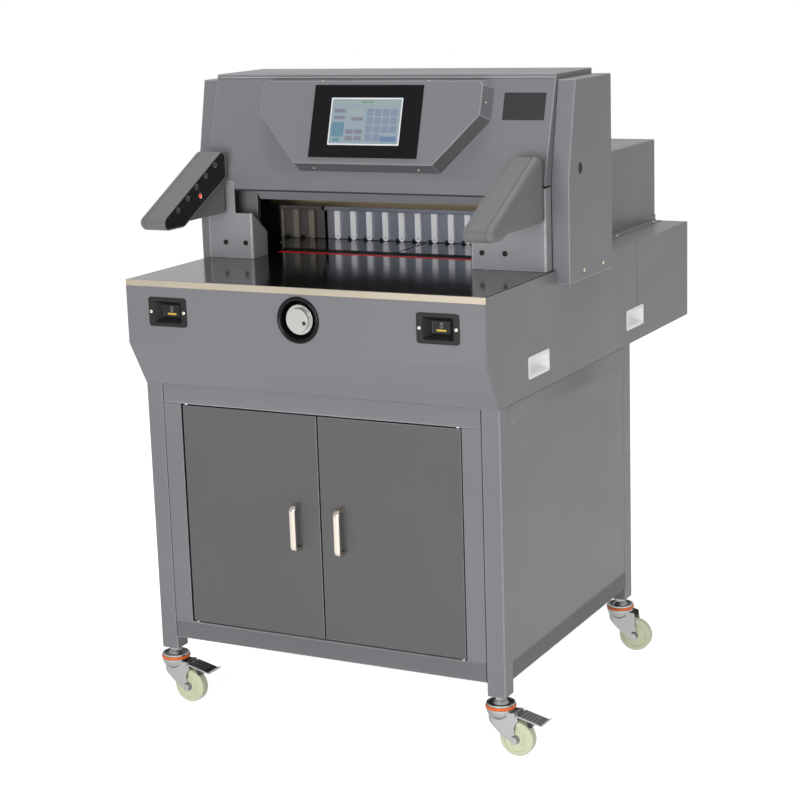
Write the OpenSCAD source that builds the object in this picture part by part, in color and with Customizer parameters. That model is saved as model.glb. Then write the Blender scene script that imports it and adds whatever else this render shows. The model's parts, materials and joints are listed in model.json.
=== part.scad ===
// Electric paper cutter on a wheeled cabinet stand.
// Millimetres. X runs to the right, Y to the back and Z up.
// The origin lies on the floor, under the middle of the stand.

/* [Stand] */
// Width of the stand and of the base housing
body_w = 810; // [780:5:860]
// Depth of the stand over its legs
stand_d = 700; // [660:5:740]
// Height of the stand's top above the floor
stand_top = 704; // [680:1:730]
// Side of the square tube
tube = 40; // [36:1:46]
// Wall of the square tube
tube_wall = 2.5; // [2:0.5:4]
// Bottom of the lower rails above the legs' underside
rail_up = 28; // [15:1:60]
// Width of the upright beside each door
stile_w = 42; // [36:1:60]
// Thickness of the cover and panel sheet
sheet = 2; // [1.5:0.5:3]

/* [Doors] */
// Gap around each door
door_gap = 3; // [2.5:0.5:4]
// Depth of a door
door_t = 18; // [14:1:24]
// Door face behind the front of the stand
door_inset = 2; // [1:0.5:4]
// Pivot's distance from the edge of the door opening
pivot_in = 10; // [9.5:0.5:13]
// Pivot's distance behind the door's face
pivot_back = 6; // [5:0.5:6]
// Pivot pin radius
pivot_r = 3; // [2:0.5:3.5]
// Length of a bar pull
pull_l = 100; // [80:1:140]
// Width of a bar pull
pull_w = 14; // [10:1:20]
// How far a bar pull stands out
pull_out = 30; // [26:1:36]
// Thickness of the bar and of its feet
pull_t = 9; // [6:1:11]
// Pull's distance from the centre line
pull_x = 51; // [30:1:120]
// Height of the pull's middle
pull_z = 428; // [360:1:500]

/* [Casters] */
// Wheel radius
wheel_r = 36.5; // [34:0.5:38]
// Wheel tread width
wheel_w = 22; // [20:1:26]
// Axle's distance from the swivel axis
trail = 37; // [34:1:40]
// Space between the wheel and the fork's yoke
yoke_up = 12.6; // [12:0.1:20]
// Axle bolt radius
axle_r = 5; // [4:0.5:6]
// Swivel pin and stem radius
king_r = 7; // [5:0.5:8]
// Half of the space between the fork legs
fork_half = 14; // [13.6:0.1:16]
// Fork sheet thickness
fork_t = 3; // [2:0.5:4]
// Reach of the brake pedal from the swivel axis
pedal_reach = 101; // [96:1:120]
// Turn of the front left caster
turn_fl = -2; // [-30:1:30]
// Turn of the front right caster
turn_fr = -2; // [-30:1:30]
// Turn of both rear casters
turn_rear = 1; // [-30:1:30]

/* [Base housing] */
// Height of the table top above the stand
base_h = 227; // [210:1:250]
// Base housing's reach in front of the stand
front_out = 53; // [40:1:65]
// Base housing's reach behind the stand
rear_out = 385; // [350:5:420]
// Crease of the front panel above the stand's top
crease_up = 94; // [70:1:110]
// Thickness of the tables
table_t = 12; // [10:1:16]
// Height of the trim strip on the table's front edge
trim_h = 13.5; // [12.5:0.5:18]
// Carry grip length
grip_l = 104; // [90:1:120]
// Carry grip height
grip_h = 45; // [40:1:60]
// Height of the carry grips above the stand's top
grip_up = 54; // [40:1:80]
// Depth of a carry grip's pocket
grip_in = 22; // [12:1:24]
// Depth of the buttons and of the dial below the table top
panel_down = 64; // [61:1:80]
// Distance of the cut buttons from the centre line
button_x = 305; // [260:1:330]
// Depth of the dish around a cut button
button_deep = 17; // [8:1:22]
// Dial cup radius
cup_r = 47; // [40:1:52]
// Dial radius
dial_r = 24; // [18:1:30]

/* [Throat and blade] */
// Clear width of the cutting throat
throat_w = 518; // [480:2:520]
// Throat's middle from the centre line
throat_x = -27.5; // [-35:0.5:-15]
// Y of the cutting edge
cut_y = 25; // [22:1:28]
// Height of the raised blade's edge above the table
blade_up = 102; // [90:1:110]
// Blade thickness
blade_t = 8; // [6:0.5:10]
// Height of the raised clamp's sole above the table
clamp_up = 105; // [95:1:112]
// Depth of the clamp's sole
clamp_d = 47; // [40:1:50]
// Y of the backgauge's front face
gauge_y = 221; // [180:1:300]
// Number of backgauge fingers
finger_n = 12; // [8:1:12]
// Finger pitch
finger_pitch = 41; // [36:0.5:42]

/* [Head] */
// Sides of the head cover inside the sides of the base housing
head_in = 8.5; // [8.5:0.5:14]
// Top of the head above the table
head_up = 389; // [380:1:400]
// Width of a column cover
col_w = 37.5; // [30:0.5:45]
// Top of the column covers below the head's top
col_down = 12; // [11:1:24]
// Y of the column covers' front
col_y0 = -63; // [-63.5:0.5:-58]
// Y of the column covers' back
col_y1 = 170.5; // [165:0.5:180]
// Depth of the raised console on the head
console_t = 37; // [25:1:42]
// Width of a sensor arm
arm_w = 65; // [55:1:70]
// Reach of a sensor arm outside its guard bracket
arm_over = 4; // [0:0.5:8]
// Half width of the rear guard
guard_hw = 326; // [300:1:326]
// Height of the rear guard over the table
guard_h = 188; // [150:1:189]

/* [Hidden] */
$fn = 64;
// running clearance of turning and sliding fits
fit = 0.05;
// free gap between parts that must not touch
gap = 0.4;
// open seam between folded sheets
seam = 0.2;
// overrun of cutting shapes
cut = 1;
hw = body_w / 2;
sy = stand_d / 2;
front_y = -sy - front_out;
back_y = sy + rear_out;
plug_h = 30;
nut_h = 9;
race_h = 9;
seal_h = 6;
yoke_h = 10;
yoke_r = 30;
shoulder_h = 12;
nose_in = 9;
yoke_z0 = 2 * wheel_r + yoke_up;
yoke_z1 = yoke_z0 + yoke_h;
leg_z = yoke_z1 + gap + seal_h + race_h + nut_h;
rail_z = leg_z + rail_up;
rail_top = rail_z + tube;
fork_eye = 10;
brake_r = 3;
brake_hub = brake_r + 3;
brake_x = yoke_r + brake_hub + gap;
brake_z = yoke_z1 - 12.6;
shoe_r = 6;
shoe_gap = 7.4;
shoe_turn = 47;
shoe_x = trail + (wheel_r + shoe_r + shoe_gap) * cos(shoe_turn);
shoe_z = wheel_r + (wheel_r + shoe_r + shoe_gap) * sin(shoe_turn);
top_rail_z = stand_top - tube;
open_hw = hw - tube - stile_w;
door_y = -sy + door_inset;
pivot_x = open_hw - pivot_in;
pivot_y = door_y + pivot_back;
leg_x = hw - tube / 2;
leg_y = sy - tube / 2;
pan_t = 3;
pan_z = stand_top + pan_t;
table_z = stand_top + base_h;
crease_z = stand_top + crease_up;
table_bot = table_z - table_t;
trim_bot = table_z - trim_h;
panel_z = table_z - panel_down;
edge_gap = 2;
plate_hw = 45.5;
plate_hh = 30;
plate_t = 2;
housing_hw = 41;
housing_hh = 25;
dish_hw = 33;
dish_hh = 22;
key_hw = 21;
key_hh = 14;
cup_d = 26;
cup_floor = 4;
cup_rim = 6;
spindle_r = 6;
inlet_in = 150;
inlet_x = hw - inlet_in;
inlet_hw = 25;
inlet_z0 = stand_top + 50;
inlet_z1 = stand_top + 82;
grip_z = stand_top + grip_up;
grip_ys = [-158.5, 381];
grip_rim = 4;
throat_x0 = throat_x - throat_w / 2;
throat_x1 = throat_x + throat_w / 2;
stick_y0 = cut_y - 13;
stick_y1 = cut_y + 5;
stick_over = 3.5;
stick_gap = 0.3;
stick_d = 10.5;
head_t = 2.5;
head_hw = hw - head_in;
col_gap = 1;
bracket_hw = head_hw + col_gap / 2;
arm_out = bracket_hw + arm_over;
arm_in = arm_out - arm_w;
frame_t = 25;
frame_x1 = head_hw - head_t - 6;
frame_x0 = frame_x1 - frame_t;
flange_x = 13.5 - throat_x0;
bed_t = 12;
bed_x = frame_x0 - 58;
frame_y0 = -45;
frame_y1 = 150;
carrier_y0 = cut_y - 25;
carrier_y1 = cut_y + 1 - blade_t;
blade_y1 = cut_y + 1;
draw_x = bed_x - 35;
draw_y = (carrier_y0 + carrier_y1) / 2;
draw_r = 7;
draw_seat = 30;
drive_h = 163;
drive_half = 40;
drive_x0 = draw_x - 34;
drive_x1 = bed_x - 6;
motor_l = 146;
carrier_x0 = throat_x0 - 33.5;
carrier_x1 = draw_x + 30;
carrier_h = 100;
blade_h = 80;
blade_show = 47;
blade_side = 24;
stroke_room = 109;
clamp_y0 = blade_y1 + 2;
clamp_y = clamp_y0 + clamp_d / 2;
clamp_z = table_z + clamp_up;
clamp_rod_r = 10;
screw_r = 14;
rod_dx = 150;
clamp_h = 20;
rib_hw = 180;
rib_half = 20;
rib_top = 74;
beam_z = table_z + 249;
beam_t = 26;
beam_lap = 25;
beam_wall = 12;
nut_r = 22;
gauge_down = 51;
gauge_z = table_z - gauge_down;
lead_r = 10;
slide_r = 8;
slide_dx = 60;
finger_t = 8;
finger_h = 66;
neck_half = 2.5;
slot_gap = 0.5;
slot_lead = 10;
end_y0 = 80;
end_y1 = back_y - 95;
end_t = 12;
incline = 17.6;
head_y0 = -91.7;
head_y1 = 162;
fold_up = 185;
band_h = 37;
head_crease = table_z + fold_up;
head_top = table_z + head_up;
head_lip = head_crease - band_h;
frame_top = head_top - head_t;
bracket_t = 2.8;
bracket_y = head_y0 - bracket_t;
head_top_y = head_y0 + (head_top - head_crease) * tan(incline);
col_fold_up = 183.5;
col_drop = 28;
col_crease = table_z + col_fold_up;
col_top = head_top - col_down;
col_bot = table_z - col_drop;
col_top_y = col_y0 + (col_top - col_crease) * 0.2153;
col_in = head_hw + col_gap;
col_hw = col_in + col_w;
console_hw = 265;
console_low = 165;
console_s0 = 7;
slope_l = (head_top - head_crease) / cos(incline);
console_below = 14.5;
console_side = 82;
console_top = slope_l - console_below;
console_s1 = console_top - console_side;
console_corner = 14;
console_lean = 9;
screen_hw = 120;
screen_low = 28;
screen_high = 24.5;
screen_s0 = console_s0 + screen_low;
screen_s1 = console_top - screen_high;
screen_d = 14;
screen_edge = 6;
arm_y = -107;
nose_up = 107;
peak_up = 240;
arm_nose = [-336, table_z + nose_up];
arm_nose_r = 15;
arm_rise = 27.4;
arm_peak = table_z + peak_up;
arm_low = table_z + 100;
arm_tip = table_z + 92;
arm_tip_y = [-272, -300];
band_high = table_z + 176;
band_low = [table_z + 97, table_z + 91];
band_tip_y = [-266, -282];
band_t = 8;
pad_z = [table_z + 103, table_z + 160];
panel_deep = 2;
panel_rim = 3;
post_top = table_z + 167;
lip_x0 = throat_x0 + 14;
lip_x1 = throat_x1 + 14;
grey = [0.47, 0.47, 0.48];
dark = [0.36, 0.36, 0.37];
black = [0.06, 0.06, 0.07];
zinc = [0.75, 0.76, 0.78];
steel = [0.6, 0.61, 0.63];

// box between two corners
module span(a, b) {
    translate(a)
        cube(b - a);
}

// prism whose outline lies in the YZ plane, between two X values
module slab_x(x0, x1, points) {
    translate([x0, 0, 0])
        rotate([90, 0, 90])
            linear_extrude(x1 - x0)
                polygon(points);
}

// prism whose outline lies in the XZ plane, between two Y values
module slab_y(y0, y1, points) {
    translate([0, y1, 0])
        rotate([90, 0, 0])
            linear_extrude(y1 - y0)
                polygon(points);
}

// rod along Y
module rod_y(x, z, r, y0, y1) {
    translate([x, y1, z])
        rotate([90, 0, 0])
            cylinder(r = r, h = y1 - y0);
}

// rod along X
module rod_x(y, z, r, x0, x1) {
    translate([x0, y, z])
        rotate([0, 90, 0])
            cylinder(r = r, h = x1 - x0);
}

// shape and its mirror image across the YZ plane
module both_sides() {
    children();
    mirror([1, 0, 0])
        children();
}

module stand_legs() {
    color(grey)
        for (x = [-leg_x, leg_x], y = [-leg_y, leg_y])
            translate([x, y, leg_z])
                leg();
}

module leg() {
    hollow = tube - 2 * tube_wall;
    difference() {
        translate([-tube / 2, -tube / 2, 0])
            cube([tube, tube, stand_top - leg_z]);
        translate([-hollow / 2, -hollow / 2, plug_h])
            cube([hollow, hollow, stand_top]);
        translate([0, 0, -cut])
            cylinder(r = king_r + fit, h = plug_h + 2 * cut);
    }
}

// straight hollow tube along X, one corner at the origin
module rail(length, deep, high) {
    difference() {
        cube([length, deep, high]);
        translate([-cut, tube_wall, tube_wall])
            cube([length + 2 * cut, deep - 2 * tube_wall, high - 2 * tube_wall]);
    }
}

module stand_rails() {
    span_x = body_w - 2 * tube;
    span_y = stand_d - 2 * tube;
    color(grey) {
        for (z = [rail_z, top_rail_z]) {
            translate([-span_x / 2, -sy, z])
                rail(span_x, tube, tube);
            translate([-span_x / 2, sy - tube, z])
                rail(span_x, tube, tube);
            for (x = [-hw + tube, hw])
                translate([x, -span_y / 2, z])
                    rotate([0, 0, 90])
                        rail(span_y, tube, tube);
        }
    }
}

// side and back sheets, and the hollow upright beside each door
module cabinet_panels() {
    color(grey) {
        for (x = [-hw + tube, open_hw])
            translate([x, -sy, top_rail_z])
                rotate([0, 90, 0])
                    rail(top_rail_z - rail_top, tube * 0.6, stile_w);
        both_sides()
            span([hw - sheet - 1, -sy + tube, rail_top], [hw - 1, sy - tube, top_rail_z]);
        span([-hw + tube, sy - sheet - 1, rail_top], [hw - tube, sy - 1, top_rail_z]);
    }
}

module cabinet_floor() {
    color(grey)
        span([-hw + tube, -sy + tube, rail_top - 4], [hw - tube, sy - tube, rail_top - 4 + sheet]);
}

// the right door; the left one is its mirror image
module door() {
    x0 = door_gap / 2;
    x1 = open_hw - door_gap;
    z0 = rail_top + door_gap;
    z1 = top_rail_z - door_gap;
    block = 18;
    difference() {
        union() {
            difference() {
                span([x0, door_y, z0], [x1, door_y + door_t, z1]);
                span([x0 + sheet, door_y + sheet, z0 + sheet],
                     [x1 - sheet, door_y + door_t + cut, z1 - sheet]);
            }
            for (z = [z0, z1 - block])
                translate([x1 - block, door_y, z])
                    cube([block, door_t, block]);
        }
        for (z = [z0 - cut, z1 - block + 4])
            translate([pivot_x, pivot_y, z])
                cylinder(r = pivot_r + fit, h = block - 4 + cut);
    }
}

module door_right() {
    color(dark)
        door();
}

module door_left() {
    color(dark)
        mirror([1, 0, 0])
            door();
}

// bar pull with two feet, its outline rounded at the outer corners
module door_pull() {
    round_r = 11;
    translate([pull_x - pull_w / 2, door_y, pull_z - pull_l / 2])
        rotate([90, 0, 90])
            linear_extrude(pull_w)
                difference() {
                    union() {
                        translate([-pull_out + round_r, 0])
                            square([pull_out - round_r, pull_l]);
                        translate([-pull_out, round_r])
                            square([pull_out, pull_l - 2 * round_r]);
                        for (z = [round_r, pull_l - round_r])
                            translate([-pull_out + round_r, z])
                                circle(r = round_r);
                    }
                    translate([-pull_out + pull_t, pull_t])
                        square([pull_out, pull_l - 2 * pull_t]);
                }
}

module door_pull_right() {
    color(zinc)
        door_pull();
}

module door_pull_left() {
    color(zinc)
        mirror([1, 0, 0])
            door_pull();
}

module door_pivots() {
    collar = door_gap / 2;
    pin_l = 12;
    color(steel)
        both_sides()
            translate([pivot_x, pivot_y, 0]) {
                translate([0, 0, rail_top])
                    cylinder(r = pivot_r, h = pin_l);
                translate([0, 0, rail_top])
                    cylinder(r = pivot_r + 3, h = collar);
                translate([0, 0, top_rail_z - pin_l])
                    cylinder(r = pivot_r, h = pin_l);
                translate([0, 0, top_rail_z - collar])
                    cylinder(r = pivot_r + 3, h = collar);
            }
}

// places a caster piece under one leg, turned to its trailing direction
module at_leg(side, end, turn) {
    translate([side * leg_x, end * leg_y, 0])
        rotate([0, 0, turn])
            children();
}

module caster_stems() {
    head_r = king_r + 4;
    color(zinc)
        for (x = [-leg_x, leg_x], y = [-leg_y, leg_y])
            translate([x, y, 0]) {
                translate([0, 0, leg_z - nut_h])
                    cylinder(r = king_r, h = nut_h + plug_h);
                translate([0, 0, leg_z - nut_h])
                    cylinder(r = king_r + 5, h = nut_h, $fn = 6);
                translate([0, 0, leg_z - nut_h - race_h])
                    race_plate();
                translate([0, 0, yoke_z0 - gap])
                    cylinder(r = king_r, h = leg_z - nut_h - yoke_z0 + gap);
                translate([0, 0, yoke_z0 - gap - 3])
                    cylinder(r = head_r, h = 3);
            }
}

// dished plate over the swivel race, with a raised hub under the nut
module race_plate() {
    rim_h = 4;
    dish = 2;
    difference() {
        cylinder(r = yoke_r - 1, h = rim_h);
        translate([0, 0, rim_h - dish])
            cylinder(r = yoke_r - 5, h = dish + cut);
    }
    cylinder(r1 = king_r + 11, r2 = king_r + 5, h = race_h);
}

module caster_seals() {
    color("orangered")
        for (x = [-leg_x, leg_x], y = [-leg_y, leg_y])
            translate([x, y, leg_z - nut_h - race_h - seal_h])
                difference() {
                    cylinder(r = yoke_r + 1, h = seal_h);
                    translate([0, 0, -cut])
                        cylinder(r = king_r + 10, h = seal_h + 2 * cut);
                }
}

// swivel fork pressed from sheet, trailing along +X; braked forks carry ears and a pin for the pedal
module fork(braked) {
    leg_half = fork_half + fork_t;
    color(zinc) {
        difference() {
            union() {
                translate([0, 0, yoke_z0])
                    cylinder(r = yoke_r, h = yoke_h);
                intersection() {
                    fork_shell(leg_half);
                    translate([0, yoke_r, 0])
                        rotate([90, 0, 0])
                            linear_extrude(2 * yoke_r)
                                fork_side(braked);
                }
            }
            translate([0, 0, yoke_z0 - cut])
                cylinder(r = king_r + fit, h = yoke_h + 2 * cut);
            rod_y(trail, wheel_r, axle_r + fit, -leg_half - cut, leg_half + cut);
            if (braked)
                rod_y(brake_x, brake_z, brake_r + fit, -leg_half - cut, leg_half + cut);
        }
        axle_bolt(leg_half);
        if (braked)
            rod_y(brake_x, brake_z, brake_r, -leg_half - 1, leg_half + 1);
    }
}

// round-nosed channel that widens into the yoke
module fork_shell(leg_half) {
    difference() {
        union() {
            fork_channel(leg_half, 0);
            translate([0, 0, yoke_z0 - shoulder_h])
                cylinder(r1 = leg_half, r2 = yoke_r, h = shoulder_h);
        }
        fork_channel(fork_half, cut);
        translate([0, 0, yoke_z0 - shoulder_h])
            cylinder(r1 = fork_half, r2 = yoke_r - fork_t, h = shoulder_h);
    }
}

module fork_channel(half, over) {
    low = wheel_r - fork_eye;
    translate([0, 0, low - over])
        linear_extrude(yoke_z1 - 4 - low + 2 * over) {
            translate([-nose_in, 0])
                circle(r = half);
            translate([-nose_in, -half])
                square([nose_in + trail + fork_eye + cut + over, 2 * half]);
        }
}

// fork's outline from the side: sloping front edge, eye, and a hollow rear edge below the ears
module fork_side(braked) {
    ear_r = brake_r + 4;
    edge_x = trail + fork_eye;
    front = [
        [0, yoke_z1], [-yoke_r - cut, yoke_z1], [-yoke_r - cut, yoke_z0 - 8],
        [trail - 24, wheel_r + 1], [trail - 5, wheel_r - fork_eye + 1.5], [edge_x, wheel_r]
    ];
    if (braked) {
        difference() {
            polygon(concat(front, [[edge_x - 2, brake_z - 5], [brake_x, brake_z + ear_r]]));
            translate([trail + 22, wheel_r + 21])
                circle(r = 23.5);
        }
        translate([brake_x, brake_z])
            circle(r = ear_r);
    } else
        polygon(concat(front, [[trail + 5, wheel_r + 18], [trail + 1, yoke_z0 + 4]]));
    translate([trail, wheel_r])
        circle(r = fork_eye);
}

module axle_bolt(leg_half) {
    head_h = 6;
    head_r = axle_r + 3.5;
    rod_y(trail, wheel_r, axle_r, -leg_half, leg_half);
    for (y = [-leg_half - head_h, leg_half])
        translate([trail, y + head_h, wheel_r])
            rotate([90, 0, 0])
                cylinder(r = head_r, h = head_h, $fn = 6);
}

module caster_fork_fl() {
    at_leg(-1, -1, turn_fl)
        fork(true);
}

module caster_fork_fr() {
    at_leg(1, -1, turn_fr)
        fork(true);
}

module caster_fork_rl() {
    at_leg(-1, 1, turn_rear)
        fork(false);
}

module caster_fork_rr() {
    at_leg(1, 1, turn_rear)
        fork(false);
}

// wheel turned about its axle: rounded tread, thin web and hub
module wheel() {
    round_r = 4;
    hub_half = fork_half - gap;
    half = wheel_w / 2;
    color([0.88, 0.88, 0.76])
        translate([trail, 0, wheel_r])
            rotate([90, 0, 0])
                rotate_extrude() {
                    difference() {
                        union() {
                            translate([axle_r + fit, -hub_half])
                                square([12, 2 * hub_half]);
                            translate([axle_r + fit, -half])
                                square([wheel_r - round_r - axle_r - fit, wheel_w]);
                            translate([wheel_r - round_r - 1, -half + round_r])
                                square([round_r + 1, wheel_w - 2 * round_r]);
                            for (y = [-half + round_r, half - round_r])
                                translate([wheel_r - round_r, y])
                                    circle(r = round_r);
                        }
                        for (y = [-half - cut, half - 2])
                            translate([axle_r + 15, y])
                                square([7, 2 + cut]);
                    }
                }
}

module caster_wheel_fl() {
    at_leg(-1, -1, turn_fl)
        wheel();
}

module caster_wheel_fr() {
    at_leg(1, -1, turn_fr)
        wheel();
}

module caster_wheel_rl() {
    at_leg(-1, 1, turn_rear)
        wheel();
}

module caster_wheel_rr() {
    at_leg(1, 1, turn_rear)
        wheel();
}

// ribbed foot lever with its brake shoe, on a hub between the fork's ears
module pedal() {
    hub_half = fork_half - gap;
    plate_half = fork_half + fork_t + 3;
    wide_x = brake_x + brake_hub + 3;
    lip = 4;
    lip_up = 5;
    plate = 3;
    drop = 12;
    tread_z = brake_z + 3;
    tip_z = tread_z - drop;
    tip_x = pedal_reach - lip;
    shoe_half = plate_half - 3;
    function top(x) = tread_z + plate - drop * (x - wide_x) / (tip_x - wide_x);
    color(zinc)
        difference() {
            union() {
                rod_y(brake_x, brake_z, brake_hub, -hub_half, hub_half);
                slab_y(-hub_half, hub_half, [
                    [brake_x, tread_z - plate / 2], [brake_x, tread_z + plate],
                    [wide_x + 1, top(wide_x + 1)], [wide_x + 1, tread_z - 1]
                ]);
                slab_y(-plate_half, plate_half, [
                    [wide_x, tread_z], [wide_x, tread_z + plate], [tip_x, tip_z + plate],
                    [pedal_reach, tip_z + plate + lip_up], [pedal_reach, tip_z + plate / 2 + lip_up - 3],
                    [tip_x, tip_z]
                ]);
                for (x = [wide_x + 8 : 7 : pedal_reach - 14])
                    rod_y(x, top(x), 1, -plate_half + 2, plate_half - 2);
                rod_y(shoe_x, shoe_z, shoe_r, -shoe_half, shoe_half);
                slab_y(-shoe_half, shoe_half, [
                    [shoe_x - shoe_r, shoe_z], [shoe_x - shoe_r, top(shoe_x - shoe_r) - 1],
                    [shoe_x + shoe_r, top(shoe_x + shoe_r) - 1], [shoe_x + shoe_r, shoe_z]
                ]);
            }
            rod_y(brake_x, brake_z, brake_r + fit, -hub_half - cut, hub_half + cut);
        }
}

module brake_pedal_fl() {
    at_leg(-1, -1, turn_fl)
        pedal();
}

module brake_pedal_fr() {
    at_leg(1, -1, turn_fr)
        pedal();
}

module base_pan() {
    color(grey)
        span([-hw + sheet, -sy + 5, stand_top], [hw - sheet, back_y - sheet, pan_z]);
}

module base_front_panel() {
    color(grey)
        difference() {
            slab_x(-hw + sheet, hw - sheet, [
                [-sy, stand_top], [front_y, crease_z], [front_y, trim_bot],
                [front_y + sheet, trim_bot], [front_y + sheet, crease_z + 0.6], [-sy + sheet * 1.2, stand_top]
            ]);
            rod_y(0, panel_z, cup_r - cup_rim, front_y - cut, front_y + sheet + cut);
            for (x = [-button_x, button_x])
                span([x - housing_hw, front_y - cut, panel_z - housing_hh],
                     [x + housing_hw, front_y + sheet + cut, panel_z + housing_hh]);
        }
}

// side panels with their ledges beside the rear guard, and the vented rear panel
module base_panels() {
    panel_top = table_z - 1;
    ledge_z = table_z - 4.5;
    color(grey) {
        both_sides()
            difference() {
                union() {
                    slab_x(hw - sheet, hw, [
                        [-sy, stand_top], [front_y, crease_z], [front_y, trim_bot],
                        [front_y + 3, trim_bot], [front_y + 3, panel_top], [col_y1 + 1, panel_top],
                        [col_y1 + 1, ledge_z], [back_y, ledge_z], [back_y, stand_top]
                    ]);
                    span([guard_hw + 1.5, col_y1 + 1, ledge_z - sheet], [hw, back_y - sheet - seam, ledge_z]);
                }
                for (y = grip_ys)
                    grip_block(y, hw - sheet - cut, hw + cut, grip_rim);
            }
        difference() {
            span([-hw + sheet + seam, back_y - sheet, stand_top], [hw - sheet - seam, back_y, ledge_z]);
            for (x = [-200 : 20 : 60])
                span([x - 3, back_y - sheet - cut, stand_top + 60], [x + 3, back_y + cut, stand_top + 150]);
            span([inlet_x - inlet_hw, back_y - sheet - cut, inlet_z0],
                 [inlet_x + inlet_hw, back_y + cut, inlet_z1]);
        }
    }
}

// block of the grip's outline between two X values, drawn in by an inset
module grip_block(y, x0, x1, inset) {
    span([x0, y - grip_l / 2 + inset, grip_z - grip_h / 2 + inset],
         [x1, y + grip_l / 2 - inset, grip_z + grip_h / 2 - inset]);
}

// recessed cups with a face flange
module carry_grips() {
    wall = 3;
    flange = 1.5;
    color([0.93, 0.93, 0.93])
        both_sides()
            for (y = grip_ys)
                difference() {
                    union() {
                        grip_block(y, hw, hw + flange, 0);
                        grip_block(y, hw - grip_in - wall, hw, grip_rim + fit);
                    }
                    grip_block(y, hw - grip_in, hw + flange + cut, grip_rim + wall);
                }
}

// appliance socket in the rear panel, with its three contacts
module power_inlet() {
    x0 = inlet_x - inlet_hw;
    x1 = inlet_x + inlet_hw;
    rim = 6;
    rim_t = 2;
    well = 18;
    pitch = 8;
    color(black)
        difference() {
            union() {
                span([x0 + fit, back_y - 30, inlet_z0 + fit], [x1 - fit, back_y, inlet_z1 - fit]);
                span([x0 - rim, back_y, inlet_z0 - rim], [x1 + rim, back_y + rim_t, inlet_z1 + rim]);
            }
            span([x0 + 11, back_y - well, inlet_z0 + rim], [x1 - 11, back_y + rim_t + cut, inlet_z1 - rim]);
        }
    color(steel)
        for (x = [inlet_x - pitch, inlet_x, inlet_x + pitch])
            span([x - 2, back_y - well, inlet_z0 + 12], [x + 2, back_y - 4, inlet_z0 + 20]);
}

// recessed button frame; the button runs in its inner window
module button_plates() {
    back = button_deep + 14;
    color(black)
        for (x = [-button_x, button_x])
            translate([x, front_y, panel_z])
                difference() {
                    union() {
                        span([-plate_hw, -plate_t, -plate_hh], [plate_hw, 0, plate_hh]);
                        span([-housing_hw + fit, 0, -housing_hh + fit],
                             [housing_hw - fit, back, housing_hh - fit]);
                    }
                    span([-dish_hw, -plate_t - cut, -dish_hh], [dish_hw, button_deep, dish_hh]);
                    span([-key_hw, button_deep - cut, -key_hh], [key_hw, back + cut, key_hh]);
                }
}

module cut_button() {
    side = 0.6;
    span([-key_hw + side, button_deep - 3, -key_hh + side], [key_hw - side, button_deep + 12, key_hh - side]);
}

module cut_button_left() {
    color(black)
        translate([-button_x, front_y, panel_z])
            cut_button();
}

module cut_button_right() {
    color(black)
        translate([button_x, front_y, panel_z])
            cut_button();
}

module dial_cup() {
    inner = cup_r - 10;
    lip = 4;
    color(black)
        difference() {
            union() {
                rod_y(0, panel_z, cup_r, front_y - lip, front_y);
                rod_y(0, panel_z, cup_r - cup_rim - fit, front_y, front_y + cup_d);
            }
            rod_y(0, panel_z, inner, front_y - lip - cut, front_y + cup_d - cup_floor);
            rod_y(0, panel_z, spindle_r + fit, front_y, front_y + cup_d + cut);
        }
}

module gauge_dial() {
    face_y = front_y - 6;
    floor_y = front_y + cup_d - cup_floor;
    dimple = 3;
    color(zinc)
        difference() {
            union() {
                rod_y(0, panel_z, dial_r, face_y, front_y + 10);
                rod_y(0, panel_z, dial_r + 6, front_y + 4, floor_y - gap);
                rod_y(0, panel_z, spindle_r, floor_y - 1, front_y + cup_d + 6);
            }
            rod_y(dial_r * 0.66, panel_z - dial_r * 0.2, 4, face_y - cut, face_y + dimple);
        }
}

// two upright walls that carry the tables
module bed_walls() {
    color(dark)
        both_sides()
            span([bed_x, -sy + 10, pan_z], [bed_x + bed_t, back_y - 60, table_bot]);
}

module front_table() {
    wide_hw = hw - sheet - edge_gap;
    wide_y = col_y0 + 5;
    mid_hw = frame_x0 - 7;
    color(steel)
        difference() {
            union() {
                span([-wide_hw, front_y + 3, table_bot], [wide_hw, wide_y, table_z]);
                span([-mid_hw, wide_y - cut, table_bot], [mid_hw, stick_y1, table_z]);
            }
            span([throat_x0 - stick_over - 0.5, stick_y0 - stick_gap, table_z - stick_d],
                 [throat_x1 + stick_over + 0.5, stick_y1 + cut, table_z + cut]);
            translate([draw_x, draw_y, table_bot - cut])
                cylinder(r = draw_r + 2, h = table_t + 2 * cut);
        }
}

module rear_table() {
    front_hw = min(guard_hw, frame_x0 - 7);
    slot_half = neck_half + slot_gap;
    color(steel)
        difference() {
            union() {
                span([-front_hw, stick_y1 + stick_gap, table_bot], [front_hw, frame_y1 + 2, table_z]);
                span([-guard_hw, frame_y1 + 1, table_bot], [guard_hw, back_y - sheet - 1, table_z]);
            }
            span([throat_x - slot_half, end_y0 - slot_lead, table_bot - cut],
                 [throat_x + slot_half, end_y1, table_z + cut]);
        }
}

module table_trim() {
    color([0.73, 0.68, 0.59])
        span([-hw, front_y, trim_bot], [hw, front_y + 2.5, table_z]);
}

module cutting_stick() {
    color("crimson")
        span([throat_x0 - stick_over, stick_y0, table_z - stick_d],
             [throat_x1 + stick_over, stick_y1, table_z - 0.5]);
}

// upright plates, each with a front flange that closes the space beside the throat
module side_frames() {
    flange_t = 12;
    color(grey)
        both_sides() {
            slab_x(frame_x0, frame_x1, [
                [frame_y0, pan_z], [frame_y0, head_crease], [frame_y0 + 55, frame_top],
                [frame_y1, frame_top], [frame_y1, pan_z]
            ]);
            span([flange_x, frame_y0, table_z], [frame_x0 + cut, frame_y0 + flange_t, head_crease]);
        }
}

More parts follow.
